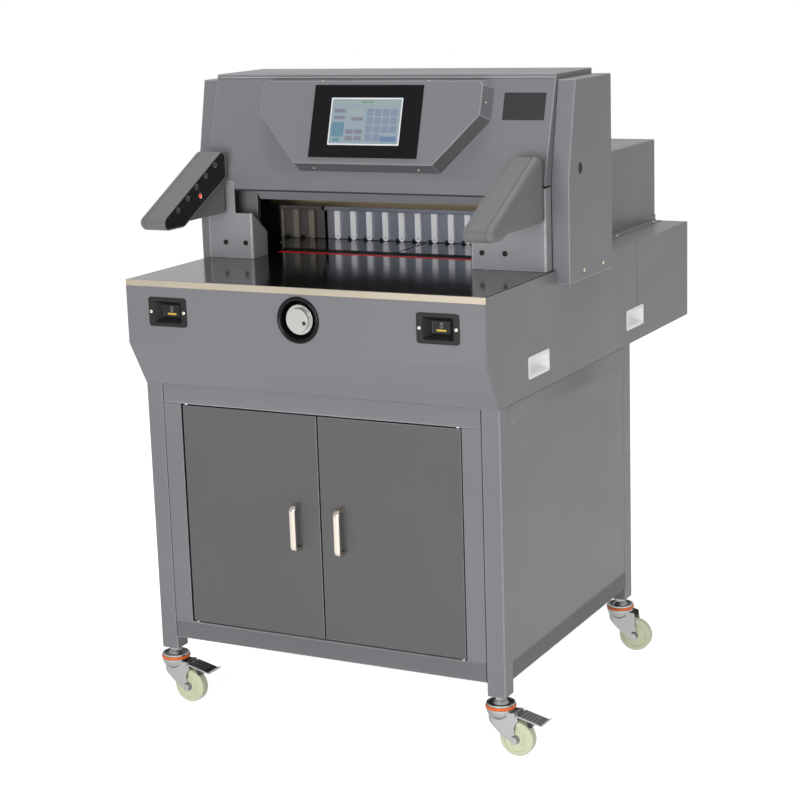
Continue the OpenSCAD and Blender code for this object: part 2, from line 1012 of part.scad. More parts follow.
// angle-section beam between the side frames, bored for the clamp nut and rods
module head_beam() {
    y0 = clamp_y - beam_lap;
    y1 = frame_y1 - 10;
    color(dark)
        difference() {
            union() {
                span([-frame_x0, y0, beam_z], [frame_x0, y1, beam_z + beam_t]);
                span([-frame_x0, y1 - beam_wall, beam_z], [frame_x0, y1, frame_top]);
            }
            translate([throat_x, clamp_y, beam_z - cut])
                cylinder(r = nut_r + fit, h = beam_t + 2 * cut);
            for (x = [-rod_dx, rod_dx])
                translate([throat_x + x, clamp_y, beam_z - cut])
                    cylinder(r = clamp_rod_r + fit, h = beam_t + 2 * cut);
        }
}

// pan-shaped sheet cover over each side frame, open toward the middle
module column_covers() {
    t = head_t;
    color(grey)
        both_sides()
            difference() {
                slab_x(col_in, col_hw, [
                    [col_y0, col_bot], [col_y0, col_crease], [col_top_y, col_top],
                    [col_y1, col_top], [col_y1, col_bot]
                ]);
                slab_x(col_in - cut, col_hw - t, [
                    [col_y0 + t, col_bot + t], [col_y0 + t, col_crease], [col_top_y + t, col_top - t],
                    [col_y1 - t, col_top - t], [col_y1 - t, col_bot + t]
                ]);
                span([col_in - cut, col_y0 - cut, col_bot - cut], [hw, col_y1 + cut, table_z]);
                rod_x(-2, table_z + 200, 12, col_hw - t - cut, col_hw + cut);
            }
}

// folded guard beside the throat: front plate with a post, inner cheek and outer cheek
module guard_bracket(x_in) {
    t = bracket_t;
    z0 = table_z + gap;
    z1 = table_z + 98;
    post_in = bracket_hw - 70;
    cheek_y = bracket_y + 62;
    cheek_z = z1 - 46;
    slab_y(bracket_y, bracket_y + t, [
        [x_in, z0], [x_in, z1], [post_in, z1], [post_in, post_top], [bracket_hw, post_top], [bracket_hw, z0]
    ]);
    slab_x(x_in, x_in + t, [
        [bracket_y, z0], [bracket_y, z1], [bracket_y + 5, z1], [cheek_y, cheek_z], [cheek_y, z0]
    ]);
    span([bracket_hw - t, bracket_y, z0], [bracket_hw, col_y0 - 2, post_top]);
}

module guard_brackets() {
    color(grey) {
        guard_bracket(throat_x1);
        mirror([1, 0, 0])
            guard_bracket(-throat_x0);
    }
}

module throat_walls() {
    t = 3;
    y0 = clamp_y0 + 4;
    y1 = back_y - 135;
    z1 = table_z + 118;
    color(steel) {
        span([throat_x0 - t, y0, table_z], [throat_x0, y1, z1]);
        span([throat_x1, y0, table_z], [throat_x1 + t, y1, z1]);
    }
}

// blade beam with the rod that pulls it down
module blade_carrier() {
    z0 = table_z + blade_up + blade_show;
    rod_low = pan_z + stroke_room;
    color(steel) {
        difference() {
            span([carrier_x0, carrier_y0, z0], [carrier_x1, carrier_y1, z0 + carrier_h]);
            translate([draw_x, draw_y, z0 - cut])
                cylinder(r = draw_r + fit, h = draw_seat + cut);
        }
        translate([draw_x, draw_y, rod_low])
            cylinder(r = draw_r, h = z0 + draw_seat - rod_low);
    }
}

module blade() {
    z0 = table_z + blade_up;
    bevel = 16;
    color([0.45, 0.42, 0.36])
        slab_x(throat_x0 - blade_side, throat_x1 + blade_side, [
            [cut_y, z0], [blade_y1, z0], [blade_y1, z0 + blade_h],
            [carrier_y1, z0 + blade_h], [carrier_y1, z0 + bevel]
        ]);
}

// gear motor that draws the blade's rod down
module blade_drive() {
    box_top = pan_z + drive_h;
    motor_r = 55;
    color(dark) {
        difference() {
            span([drive_x0, draw_y - drive_half, pan_z], [drive_x1, draw_y + drive_half, box_top]);
            translate([draw_x, draw_y, pan_z + pan_t])
                cylinder(r = draw_r + fit, h = box_top);
        }
        rod_x(draw_y, pan_z + motor_r + 5, motor_r, drive_x0 - motor_l, drive_x0);
    }
}

module clamp_beam() {
    side = 3.5;
    color(zinc) {
        span([throat_x0 + side, clamp_y0, clamp_z],
             [throat_x1 - side, clamp_y0 + clamp_d, clamp_z + clamp_h]);
        span([throat_x - rib_hw, clamp_y - rib_half, clamp_z + clamp_h - fit],
             [throat_x + rib_hw, clamp_y + rib_half, clamp_z + rib_top]);
    }
}

// clamp screw and its two guide rods
module clamp_rods() {
    z0 = clamp_z + rib_top;
    z1 = head_top - 12;
    color(zinc) {
        translate([throat_x, clamp_y, z0])
            cylinder(r = screw_r, h = z1 - z0);
        for (x = [-rod_dx, rod_dx])
            translate([throat_x + x, clamp_y, z0])
                cylinder(r = clamp_rod_r, h = z1 - z0);
    }
}

// worm wheel with a threaded hub that turns in the head beam
module clamp_nut() {
    wheel_h = 18;
    color([0.72, 0.58, 0.3])
        difference() {
            union() {
                translate([throat_x, clamp_y, beam_z])
                    cylinder(r = nut_r, h = beam_t + 1);
                translate([throat_x, clamp_y, beam_z + beam_t + gap])
                    cylinder(r = nut_r + 20, h = wheel_h);
            }
            translate([throat_x, clamp_y, beam_z - cut])
                cylinder(r = screw_r + fit, h = beam_t + wheel_h + 3);
        }
}

// comb body above the table, neck through the table's slot and carriage below it
module backgauge() {
    side = 3;
    x0 = throat_x0 + side;
    x1 = throat_x1 - side;
    y0 = gauge_y + finger_t;
    low = table_z + gap;
    brow = 5;
    brow_h = 16;
    top = table_z + finger_h + brow_h;
    comb_t = 12;
    brow_back = 32;
    neck_in = 2;
    block_hw = slide_dx + slide_r + 10;
    block_half = 20;
    block_d = 46;
    color([0.55, 0.58, 0.64])
        difference() {
            union() {
                span([x0, y0, low], [x1, y0 + comb_t, top]);
                span([x0, gauge_y - brow, top - brow_h], [x1, y0 + brow_back, top]);
                span([throat_x - neck_half, y0 + neck_in, gauge_z],
                     [throat_x + neck_half, y0 + block_d - neck_in, top - brow_h / 2]);
                span([throat_x - block_hw, y0, gauge_z - block_half],
                     [throat_x + block_hw, y0 + block_d, gauge_z + block_half]);
            }
            rod_y(throat_x, gauge_z, lead_r + fit, y0 - cut, y0 + block_d + cut);
            for (dx = [-slide_dx, slide_dx])
                rod_y(throat_x + dx, gauge_z, slide_r + fit, y0 - cut, y0 + block_d + cut);
        }
}

module gauge_fingers() {
    finger_w = 14;
    low = table_z + gap;
    high = table_z + finger_h;
    color([0.9, 0.9, 0.92])
        for (i = [0 : finger_n - 1])
            translate([throat_x + (i - (finger_n - 1) / 2) * finger_pitch, gauge_y + finger_t, 0])
                rotate([90, 0, 0])
                    linear_extrude(finger_t)
                        difference() {
                            union() {
                                translate([-finger_w / 2, low + finger_w / 2])
                                    square([finger_w, high - low - finger_w / 2]);
                                translate([0, low + finger_w / 2])
                                    circle(r = finger_w / 2);
                            }
                            translate([0, low + finger_w / 2])
                                circle(r = 2.5);
                        }
}

module lead_screw() {
    color(zinc)
        rod_y(throat_x, gauge_z, lead_r, end_y0, end_y1 + end_t + 30);
}

// two round rails between end plates; the plates carry the lead screw
module gauge_rails() {
    half = 90;
    color(steel) {
        for (dx = [-slide_dx, slide_dx])
            rod_y(throat_x + dx, gauge_z, slide_r, end_y0, end_y1 + end_t);
        for (y = [end_y0, end_y1])
            difference() {
                span([throat_x - half, y, pan_z], [throat_x + half, y + end_t, table_bot - 1]);
                rod_y(throat_x, gauge_z, lead_r + fit, y - cut, y + end_t + cut);
                for (dx = [-slide_dx, slide_dx])
                    rod_y(throat_x + dx, gauge_z, slide_r + fit, y - cut, y + end_t + cut);
            }
    }
}

module gauge_motor() {
    half = 30;
    y0 = end_y1 + end_t;
    color(black)
        difference() {
            span([throat_x - half, y0, gauge_z - half], [throat_x + half, y0 + 66, gauge_z + half]);
            rod_y(throat_x, gauge_z, lead_r + fit, y0 - cut, y0 + 32);
        }
}

// folded sheet hood: top, slanted front, upright band, a lip turned inward over the throat
// and a notch at each end for the guard bracket
module head_cover() {
    t = head_t;
    lip_y = head_y0 + 15.7;
    lip_z = head_lip - 20;
    color(grey)
        difference() {
            slab_x(-head_hw, head_hw, [
                [lip_y, lip_z], [head_y0, head_lip], [head_y0, head_crease], [head_top_y, head_top],
                [head_y1, head_top], [head_y1, table_z + guard_h + 3]
            ]);
            slab_x(-head_hw + t, head_hw - t, [
                [lip_y + 1.3 * t, lip_z - 20], [lip_y + 1.3 * t, lip_z], [head_y0 + t, head_lip + 0.2 * t],
                [head_y0 + t, head_crease], [head_top_y + t * 0.8, head_top - t],
                [head_y1 - t, head_top - t], [head_y1 - t, table_z]
            ]);
            span([-head_hw - cut, head_y0 - cut, lip_z - cut], [lip_x0, col_y0 + 2, head_lip]);
            span([lip_x1, head_y0 - cut, lip_z - cut], [head_hw + cut, col_y0 + 2, head_lip]);
            both_sides()
                span([bracket_hw - 11, head_y0 - cut, lip_z - cut],
                     [head_hw + cut, col_y0 + 2, post_top + 4]);
        }
}

// places a shape on the slanted front: X across, Y up the slope, Z outward
module on_slope() {
    translate([0, head_y0, head_crease])
        rotate([90 - incline, 0, 0])
            children();
}

// outside of a slope that starts on the local X axis and leans toward +Y
module lean_cut(run, rise) {
    far = 700;
    rotate([90, 0, 90])
        translate([0, 0, -far])
            linear_extrude(2 * far)
                polygon([
                    [-far, -cut], [-cut * run / rise, -cut],
                    [run * (rise + cut) / rise, rise + cut], [-far, rise + cut]
                ]);
}

// console outline on the slope, drawn in by one wall
function console_outline(wall) = let(
        lean = atan2(console_s1 - console_s0, console_hw - console_low),
        x0 = console_low - wall * tan(lean / 2),
        x1 = console_hw - wall,
        s1 = console_s1 + wall * tan((90 - lean) / 2),
        s2 = console_top - wall
    ) [
        [-x0, console_s0 + wall], [x0, console_s0 + wall], [x1, s1], [x1, s2 - console_corner],
        [x1 - console_corner, s2], [-x1 + console_corner, s2], [-x1, s2 - console_corner], [-x1, s1]
    ];

// console block with leaning edges, drawn in by one wall
module console_block(wall) {
    points = console_outline(wall);
    lean = atan2(console_s1 - console_s0, console_hw - console_low);
    difference() {
        linear_extrude(console_t)
            polygon(points);
        translate(points[1])
            lean_cut(console_lean, console_t);
        translate(points[4])
            rotate([0, 0, 180])
                lean_cut(console_lean, console_t);
        for (side = [-1, 1]) {
            translate([side * points[1][0], points[1][1], 0])
                rotate([0, 0, side * lean])
                    lean_cut(console_lean, console_t);
            translate([side * points[2][0], points[2][1], 0])
                rotate([0, 0, side * 90])
                    lean_cut(console_lean, console_t);
            translate([side * points[3][0], points[3][1], 0])
                rotate([0, 0, side * 135])
                    lean_cut(console_lean, console_t);
        }
    }
}

// raised console, open at its back, with a window for the screen
module console() {
    color(grey)
        on_slope()
            difference() {
                console_block(0);
                translate([0, 0, -head_t])
                    console_block(head_t);
                span([-screen_hw, screen_s0, console_t - screen_d], [screen_hw, screen_s1, console_t + cut]);
            }
}

// screen unit: dark bezel plate on the console's face, with its body in the window
module touch_screen() {
    edge = screen_edge;
    color(black)
        on_slope() {
            span([-screen_hw - edge, screen_s0 - edge, console_t],
                 [screen_hw + edge, screen_s1 + edge, console_t + 3]);
            span([-screen_hw + gap, screen_s0 + gap, console_t - screen_d],
                 [screen_hw - gap, screen_s1 - gap, console_t + cut]);
        }
}

// upper edge shared by the arm's outlines, drawn in by an inset
function arm_top(inset) = [
    [arm_nose[0] - (arm_nose_r - inset) * sin(arm_rise), arm_nose[1] + (arm_nose_r - inset) * cos(arm_rise)],
    [arm_y - 5 - inset, arm_peak - 1.4 * inset], [arm_y - inset, arm_peak - 5 - 1.4 * inset]
];

// side outline of a sensor arm, in Y and Z
function arm_outline() = concat([
    [arm_y, arm_low], [arm_tip_y[0], arm_low], [arm_tip_y[1], arm_tip],
    [arm_nose[0], arm_nose[1] - arm_nose_r]
], arm_top(0));

// outline of the arm's inner band, drawn in by an inset
function band_outline(inset) = concat([
    [arm_y - inset, band_high + inset * 1.4], [band_tip_y[0], band_low[0] + inset],
    [band_tip_y[1], band_low[1] + inset], [arm_nose[0], arm_nose[1] - arm_nose_r + inset]
], arm_top(inset));

module arm_band(x0, x1, inset) {
    slab_x(x0, x1, band_outline(inset));
    rod_x(arm_nose[0], arm_nose[1], arm_nose_r - inset, x0, x1);
}

module sensor_arms() {
    color([0.55, 0.55, 0.55])
        both_sides()
            difference() {
                union() {
                    arm_band(arm_in, arm_in + band_t + cut, 0);
                    slab_x(arm_in + band_t, arm_out, arm_outline());
                    rod_x(arm_nose[0], arm_nose[1], arm_nose_r, arm_in + band_t, arm_out);
                    span([arm_in + 14, arm_y - cut, pad_z[0]], [arm_out - 15, bracket_y, pad_z[1]]);
                }
                arm_band(arm_in - cut, arm_in + panel_deep, panel_rim);
            }
}

// dark panel let into the inner face of each arm
module arm_panels() {
    color(black)
        both_sides()
            arm_band(arm_in + 0.5, arm_in + panel_deep, panel_rim);
}

// sheet cover over the rear table, open below and toward the head
module rear_guard() {
    y0 = frame_y1 + seam;
    y1 = back_y - 5;
    color(grey) {
        difference() {
            span([-guard_hw, y0, table_z], [guard_hw, y1, table_z + guard_h]);
            span([-guard_hw + sheet, y0 - cut, table_z - cut],
                 [guard_hw - sheet, y1 - sheet, table_z + guard_h - sheet]);
        }
        both_sides()
            span([guard_hw - sheet, y0, table_z], [frame_x1, y0 + sheet, table_z + guard_h]);
    }
}

// screws on the column covers, the guard brackets and the button plates
module cover_screws() {
    bolt_z = table_z + 34.5;
    color([0.25, 0.24, 0.22]) {
        both_sides()
            for (y = [11, 116])
                rod_x(y, table_z - 9, 5, col_hw, col_hw + 2.5);
        for (x = [throat_x1 + 25, throat_x1 + 76, throat_x0 - 17, throat_x0 - 67])
            rod_y(x, bolt_z, 5.5, bracket_y - 3, bracket_y);
        for (x = [-button_x, button_x], dx = [-39, 39])
            rod_y(x + dx, panel_z, 3.5, front_y - 3.5, front_y - 2);
    }
}

stand_legs();
stand_rails();
cabinet_panels();
cabinet_floor();
door_left();
door_right();
door_pull_left();
door_pull_right();
door_pivots();
caster_stems();
caster_seals();
caster_fork_fl();
caster_fork_fr();
caster_fork_rl();
caster_fork_rr();
caster_wheel_fl();
caster_wheel_fr();
caster_wheel_rl();
caster_wheel_rr();
brake_pedal_fl();
brake_pedal_fr();
base_pan();
base_front_panel();
base_panels();
carry_grips();
power_inlet();
button_plates();
cut_button_left();
cut_button_right();
dial_cup();
gauge_dial();
bed_walls();
front_table();
rear_table();
table_trim();
cutting_stick();
side_frames();
head_beam();
column_covers();
guard_brackets();
throat_walls();
blade_carrier();
blade();
blade_drive();
clamp_beam();
clamp_rods();
clamp_nut();
backgauge();
gauge_fingers();
lead_screw();
gauge_rails();
gauge_motor();
head_cover();
console();
touch_screen();
sensor_arms();
arm_panels();
rear_guard();
cover_screws();
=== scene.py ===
import json
import math

import bmesh
import bpy
from mathutils import Matrix, Vector


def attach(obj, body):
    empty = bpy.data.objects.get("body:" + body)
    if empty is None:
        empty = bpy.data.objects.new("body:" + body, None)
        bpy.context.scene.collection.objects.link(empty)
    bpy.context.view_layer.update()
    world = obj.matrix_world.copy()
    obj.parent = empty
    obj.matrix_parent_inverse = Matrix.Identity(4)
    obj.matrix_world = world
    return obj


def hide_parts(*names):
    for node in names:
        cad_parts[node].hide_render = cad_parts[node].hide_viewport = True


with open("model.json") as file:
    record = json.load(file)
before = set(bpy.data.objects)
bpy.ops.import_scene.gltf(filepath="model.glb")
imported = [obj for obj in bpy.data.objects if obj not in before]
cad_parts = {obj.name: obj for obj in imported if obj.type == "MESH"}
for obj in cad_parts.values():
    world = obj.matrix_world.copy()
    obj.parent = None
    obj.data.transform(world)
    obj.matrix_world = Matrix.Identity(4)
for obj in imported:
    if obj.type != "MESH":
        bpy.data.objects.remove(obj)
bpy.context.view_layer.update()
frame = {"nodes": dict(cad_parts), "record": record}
nodes = frame["nodes"]
scene = bpy.context.scene
scene.view_settings.view_transform = "Standard"
bodyOfNode = {n: b for b, members in frame["record"]["behaviour"]["bodies"].items() for n in members}
slotOfNode = {s["node"]: s["material_slot"] for s in frame["record"]["subparts"]}
print("frame loaded,", len(nodes), "nodes")


# camera, at the photograph's place
viewpoint = {"place": (1.93443, -3.68846, 1.54873), "yaw": -27.5677, "pitch": -12.5622, "roll": 1.8691,
             "lens": 88.795}


def aimCamera(v):
    yaw, pitch, roll = (math.radians(v[k]) for k in ("yaw", "pitch", "roll"))
    ahead = Vector((math.sin(yaw) * math.cos(pitch), math.cos(yaw) * math.cos(pitch), math.sin(pitch)))
    right = Vector((math.cos(yaw), -math.sin(yaw), 0))
    down = ahead.cross(right)
    across = right * math.cos(roll) + down * math.sin(roll)
    lower = down * math.cos(roll) - right * math.sin(roll)
    data = bpy.data.cameras.new("studioCamera")
    data.lens = v["lens"]
    data.sensor_width = 36
    data.clip_end = 100
    camera = bpy.data.objects.new("studioCamera", data)
    turned = Matrix((across, -lower, -ahead)).transposed().to_4x4()
    camera.matrix_world = Matrix.Translation(v["place"]) @ turned
    scene.collection.objects.link(camera)
    scene.camera = camera


aimCamera(viewpoint)
print("camera set")


# finishes

def tone(r, g, b):
    def linear(c):
        c /= 255
        return c / 12.92 if c <= 0.04045 else ((c + 0.055) / 1.055) ** 2.4
    return (linear(r), linear(g), linear(b), 1)


def newGroup(name, inputs, outputs):
    tree = bpy.data.node_groups.new(name, "ShaderNodeTree")
    for label, kind, value in inputs:
        socket = tree.interface.new_socket(name=label, in_out="INPUT", socket_type=kind)
        socket.default_value = value
    for label, kind in outputs:
        tree.interface.new_socket(name=label, in_out="OUTPUT", socket_type=kind)
    return tree, tree.nodes.new("NodeGroupInput"), tree.nodes.new("NodeGroupOutput")


def addNode(tree, kind, links=None, **settings):
    node = tree.nodes.new(kind)
    for key, value in settings.items():
        setattr(node, key, value)
    for key, value in (links or {}).items():
        if isinstance(value, bpy.types.NodeSocket):
            tree.links.new(value, node.inputs[key])
        else:
            node.inputs[key].default_value = value
    return node


def ramp(tree, value, start, end, low, high):
    ends = {"Value": value, "From Min": start, "From Max": end, "To Min": low, "To Max": high}
    return addNode(tree, "ShaderNodeMapRange", ends).outputs["Result"]


def drift(tree, coords, scale, low, high, detail=2.0):
    noise = addNode(tree, "ShaderNodeTexNoise", {"Vector": coords, "Scale": scale, "Detail": detail})
    return ramp(tree, noise.outputs["Fac"], 0.3, 0.7, low, high)


def multiply(tree, a, b):
    return addNode(tree, "ShaderNodeMath", {0: a, 1: b}, operation="MULTIPLY").outputs[0]


def plus(tree, a, b):
    return addNode(tree, "ShaderNodeMath", {0: a, 1: b}, operation="ADD").outputs[0]


def shaded(tree, colour, factor):
    mix = addNode(tree, "ShaderNodeVectorMath", {0: colour, "Scale": factor}, operation="SCALE")
    return mix.outputs["Vector"]


def blend(tree, mask, under, over):
    mix = addNode(tree, "ShaderNodeMix", {0: mask, 6: under, 7: over}, data_type="RGBA", blend_type="MIX")
    return mix.outputs[2]


skinTones = {"dust": tone(205, 202, 196), "thinPaintAndHighlight": tone(214, 214, 214)}
skinInputs = [("Color", "NodeSocketColor", (0.5, 0.5, 0.5, 1)), ("Spread", "NodeSocketFloat", 0.03),
              ("Gloss", "NodeSocketFloat", 0.35), ("Gloss Spread", "NodeSocketFloat", 0.05),
              ("Grain", "NodeSocketFloat", 900.0), ("Depth", "NodeSocketFloat", 0.05)]
skinOutputs = [("Color", "NodeSocketColor"), ("Roughness", "NodeSocketFloat"), ("Normal", "NodeSocketVector")]


def makeSkin(name, stretch, dust=0.0, edge=0.0):
    # colour drift, uneven gloss and a fine relief, shared by several finishes
    tree, given, out = newGroup(name, skinInputs, skinOutputs)
    place = addNode(tree, "ShaderNodeTexCoord").outputs["Object"]
    stretched = addNode(tree, "ShaderNodeMapping", {"Vector": place, "Scale": stretch}).outputs["Vector"]
    wide = plus(tree, multiply(tree, drift(tree, place, 2.6, -1.0, 1.0), given.outputs["Spread"]), 1.0)
    colour = shaded(tree, given.outputs["Color"], wide)
    if dust:
        up = addNode(tree, "ShaderNodeSeparateXYZ",
                     {0: addNode(tree, "ShaderNodeNewGeometry").outputs["Normal"]}).outputs["Z"]
        lying = ramp(tree, up, 0.7, 1.0, 0.0, dust)
        film = multiply(tree, lying, drift(tree, place, 14.0, 0.35, 1.0, 5.0))
        colour = blend(tree, film, colour, skinTones["dust"])
    # pale fold edges: paint worn thin at the folds, and a painted highlight along them
    if edge:
        fold = addNode(tree, "ShaderNodeAttribute", attribute_name="foldEdge").outputs["Fac"]
        thin = multiply(tree, multiply(tree, fold, edge), drift(tree, place, 60.0, 0.5, 1.0, 4.0))
        colour = blend(tree, thin, colour, skinTones["thinPaintAndHighlight"])
    blotch = multiply(tree, drift(tree, stretched, 6.0, -1.0, 1.0, 4.0), given.outputs["Gloss Spread"])
    relief = addNode(tree, "ShaderNodeTexNoise", {"Vector": stretched, "Scale": given.outputs["Grain"],
                                                  "Detail": 2.0}).outputs["Fac"]
    bump = addNode(tree, "ShaderNodeBump",
                   {"Strength": given.outputs["Depth"], "Distance": 0.0004, "Height": relief})
    tree.links.new(colour, out.inputs["Color"])
    tree.links.new(plus(tree, given.outputs["Gloss"], blotch), out.inputs["Roughness"])
    tree.links.new(bump.outputs["Normal"], out.inputs["Normal"])
    return tree


skins = {
    "paint": makeSkin("paintSkin", (1, 1, 1), dust=0.10, edge=0.26),
    "moulded": makeSkin("mouldedSkin", (1, 1, 1), dust=0.04),
    "brushedX": makeSkin("brushedAlongX", (0.04, 1, 1)),
    "brushedZ": makeSkin("brushedAlongZ", (1, 1, 0.04)),
    "plated": makeSkin("platedSkin", (1, 1, 1), edge=0.12),
}


def makeFinish(name, skin, colour, gloss, metal=0.0, spread=0.03, glossSpread=0.04, grain=900.0, depth=0.05,
               coat=0.0, turnShade=0.0, **sockets):
    mat = bpy.data.materials.new(name)
    mat.use_nodes = True
    tree = mat.node_tree
    tree.nodes.clear()
    out = tree.nodes.new("ShaderNodeOutputMaterial")
    shader = tree.nodes.new("ShaderNodeBsdfPrincipled")
    tree.links.new(shader.outputs["BSDF"], out.inputs["Surface"])
    group = tree.nodes.new("ShaderNodeGroup")
    group.node_tree = skins[skin]
    settings = {"Color": colour, "Spread": spread, "Gloss": gloss, "Gloss Spread": glossSpread,
                "Grain": grain, "Depth": depth}
    for label, value in settings.items():
        group.inputs[label].default_value = value
    colour = group.outputs["Color"]
    # painted shade: the colour darkens where the surface turns away from the view
    if turnShade:
        turned = addNode(tree, "ShaderNodeLayerWeight", {"Blend": 0.35}).outputs["Facing"]
        colour = shaded(tree, colour, plus(tree, multiply(tree, turned, -turnShade), 1.0))
    tree.links.new(colour, shader.inputs["Base Color"])
    tree.links.new(group.outputs["Roughness"], shader.inputs["Roughness"])
    tree.links.new(group.outputs["Normal"], shader.inputs["Normal"])
    shader.inputs["Metallic"].default_value = metal
    shader.inputs["Coat Weight"].default_value = coat
    for label, value in sockets.items():
        shader.inputs[label].default_value = value
    return mat


softSheen = {"Specular IOR Level": 0.25}
finishes = {
    "body_grey": makeFinish("greyPaint", "paint", tone(128, 128, 132), 0.38, grain=700.0, depth=0.10,
                            **softSheen),
    "door_grey": makeFinish("doorPaint", "paint", tone(98, 98, 100), 0.42, grain=700.0, depth=0.10,
                            **softSheen),
    "frame_grey": makeFinish("framePaint", "paint", tone(118, 118, 121), 0.42, grain=600.0, depth=0.12,
                             **softSheen),
    "arm_grey": makeFinish("armPlastic", "moulded", tone(115, 115, 115), 0.46, grain=1400.0, depth=0.16,
                           **softSheen),
    "black_plastic": makeFinish("blackPlastic", "moulded", tone(20, 20, 22), 0.42, grain=1600.0,
                                depth=0.14, **{"Specular IOR Level": 0.3}),
    "gloss_black": makeFinish("glossBlack", "moulded", tone(15, 15, 18), 0.16, grain=300.0, depth=0.01,
                              **{"Specular IOR Level": 0.18}),
    # zinc darkens as it turns from the view: painted shade
    "zinc_plate": makeFinish("zincPlate", "plated", tone(172, 173, 172), 0.26, metal=1.0, spread=0.10,
                             glossSpread=0.08, grain=260.0, depth=0.06, turnShade=0.75),
    "satin_chrome": makeFinish("satinChrome", "brushedZ", tone(206, 198, 186), 0.26, metal=1.0,
                               spread=0.05, glossSpread=0.06, grain=1500.0, depth=0.05),
    "nylon": makeFinish("nylonTread", "moulded", tone(216, 219, 188), 0.42, grain=500.0, depth=0.05),
    "seal_orange": makeFinish("orangeSeal", "moulded", tone(238, 108, 28), 0.45, grain=900.0, depth=0.08),
    # the grips' white plastic glows a little: painted light
    "grip_white": makeFinish("glowingWhitePlastic", "moulded", tone(240, 240, 241), 0.22, grain=500.0, depth=0.02,
                             **{"Emission Color": tone(240, 240, 241), "Emission Strength": 0.1}),
    "trim_beige": makeFinish("champagneTrim", "brushedX", tone(182, 172, 155), 0.40, metal=0.5,
                             spread=0.10, glossSpread=0.08, grain=1200.0, depth=0.08),
    # the red cutting stick glows a little: painted light
    "stick_red": makeFinish("glowingRedStick", "moulded", tone(224, 24, 40), 0.55, grain=600.0, depth=0.04,
                            **{"Specular IOR Level": 0.1, "Emission Color": tone(226, 22, 38),
                               "Emission Strength": 0.3}),
    "table_steel": makeFinish("polishedTable", "brushedX", tone(170, 170, 171), 0.12, metal=1.0,
                              spread=0.02, glossSpread=0.03, grain=900.0, depth=0.012,
                              **{"Specular Tint": (0.8, 0.8, 0.8, 1)}),
    "bright_steel": makeFinish("groundSteel", "brushedX", tone(190, 191, 193), 0.26, metal=1.0,
                               spread=0.04, glossSpread=0.06, grain=1300.0, depth=0.05),
    "blade_steel": makeFinish("bladeSteel", "brushedX", tone(164, 149, 123), 0.28, metal=1.0, spread=0.06,
                              glossSpread=0.06, grain=1300.0, depth=0.05),
    "cast_grey": makeFinish("castPaint", "paint", tone(84, 84, 87), 0.55, grain=240.0, depth=0.35),
    "bronze": makeFinish("bronzeGear", "plated", tone(190, 150, 92), 0.32, metal=1.0, spread=0.06,
                         glossSpread=0.08, grain=400.0, depth=0.06),
    "gauge_alloy": makeFinish("gaugeAlloy", "brushedX", tone(138, 143, 156), 0.38, metal=0.55, spread=0.03,
                              glossSpread=0.05, grain=1100.0, depth=0.05),
    # the gauge fingers glow a little: painted light
    "finger_white": makeFinish("glowingFingerPlastic", "moulded", tone(240, 241, 245), 0.36, grain=900.0, depth=0.05,
                               **{"Emission Color": tone(238, 240, 246), "Emission Strength": 0.09}),
    "screw_dark": makeFinish("blackScrew", "plated", tone(44, 43, 42), 0.36, metal=0.9, spread=0.05,
                             glossSpread=0.08, grain=500.0, depth=0.06),
}
for name, node in nodes.items():
    node.data.materials.clear()
    node.data.materials.append(finishes[slotOfNode[name]])
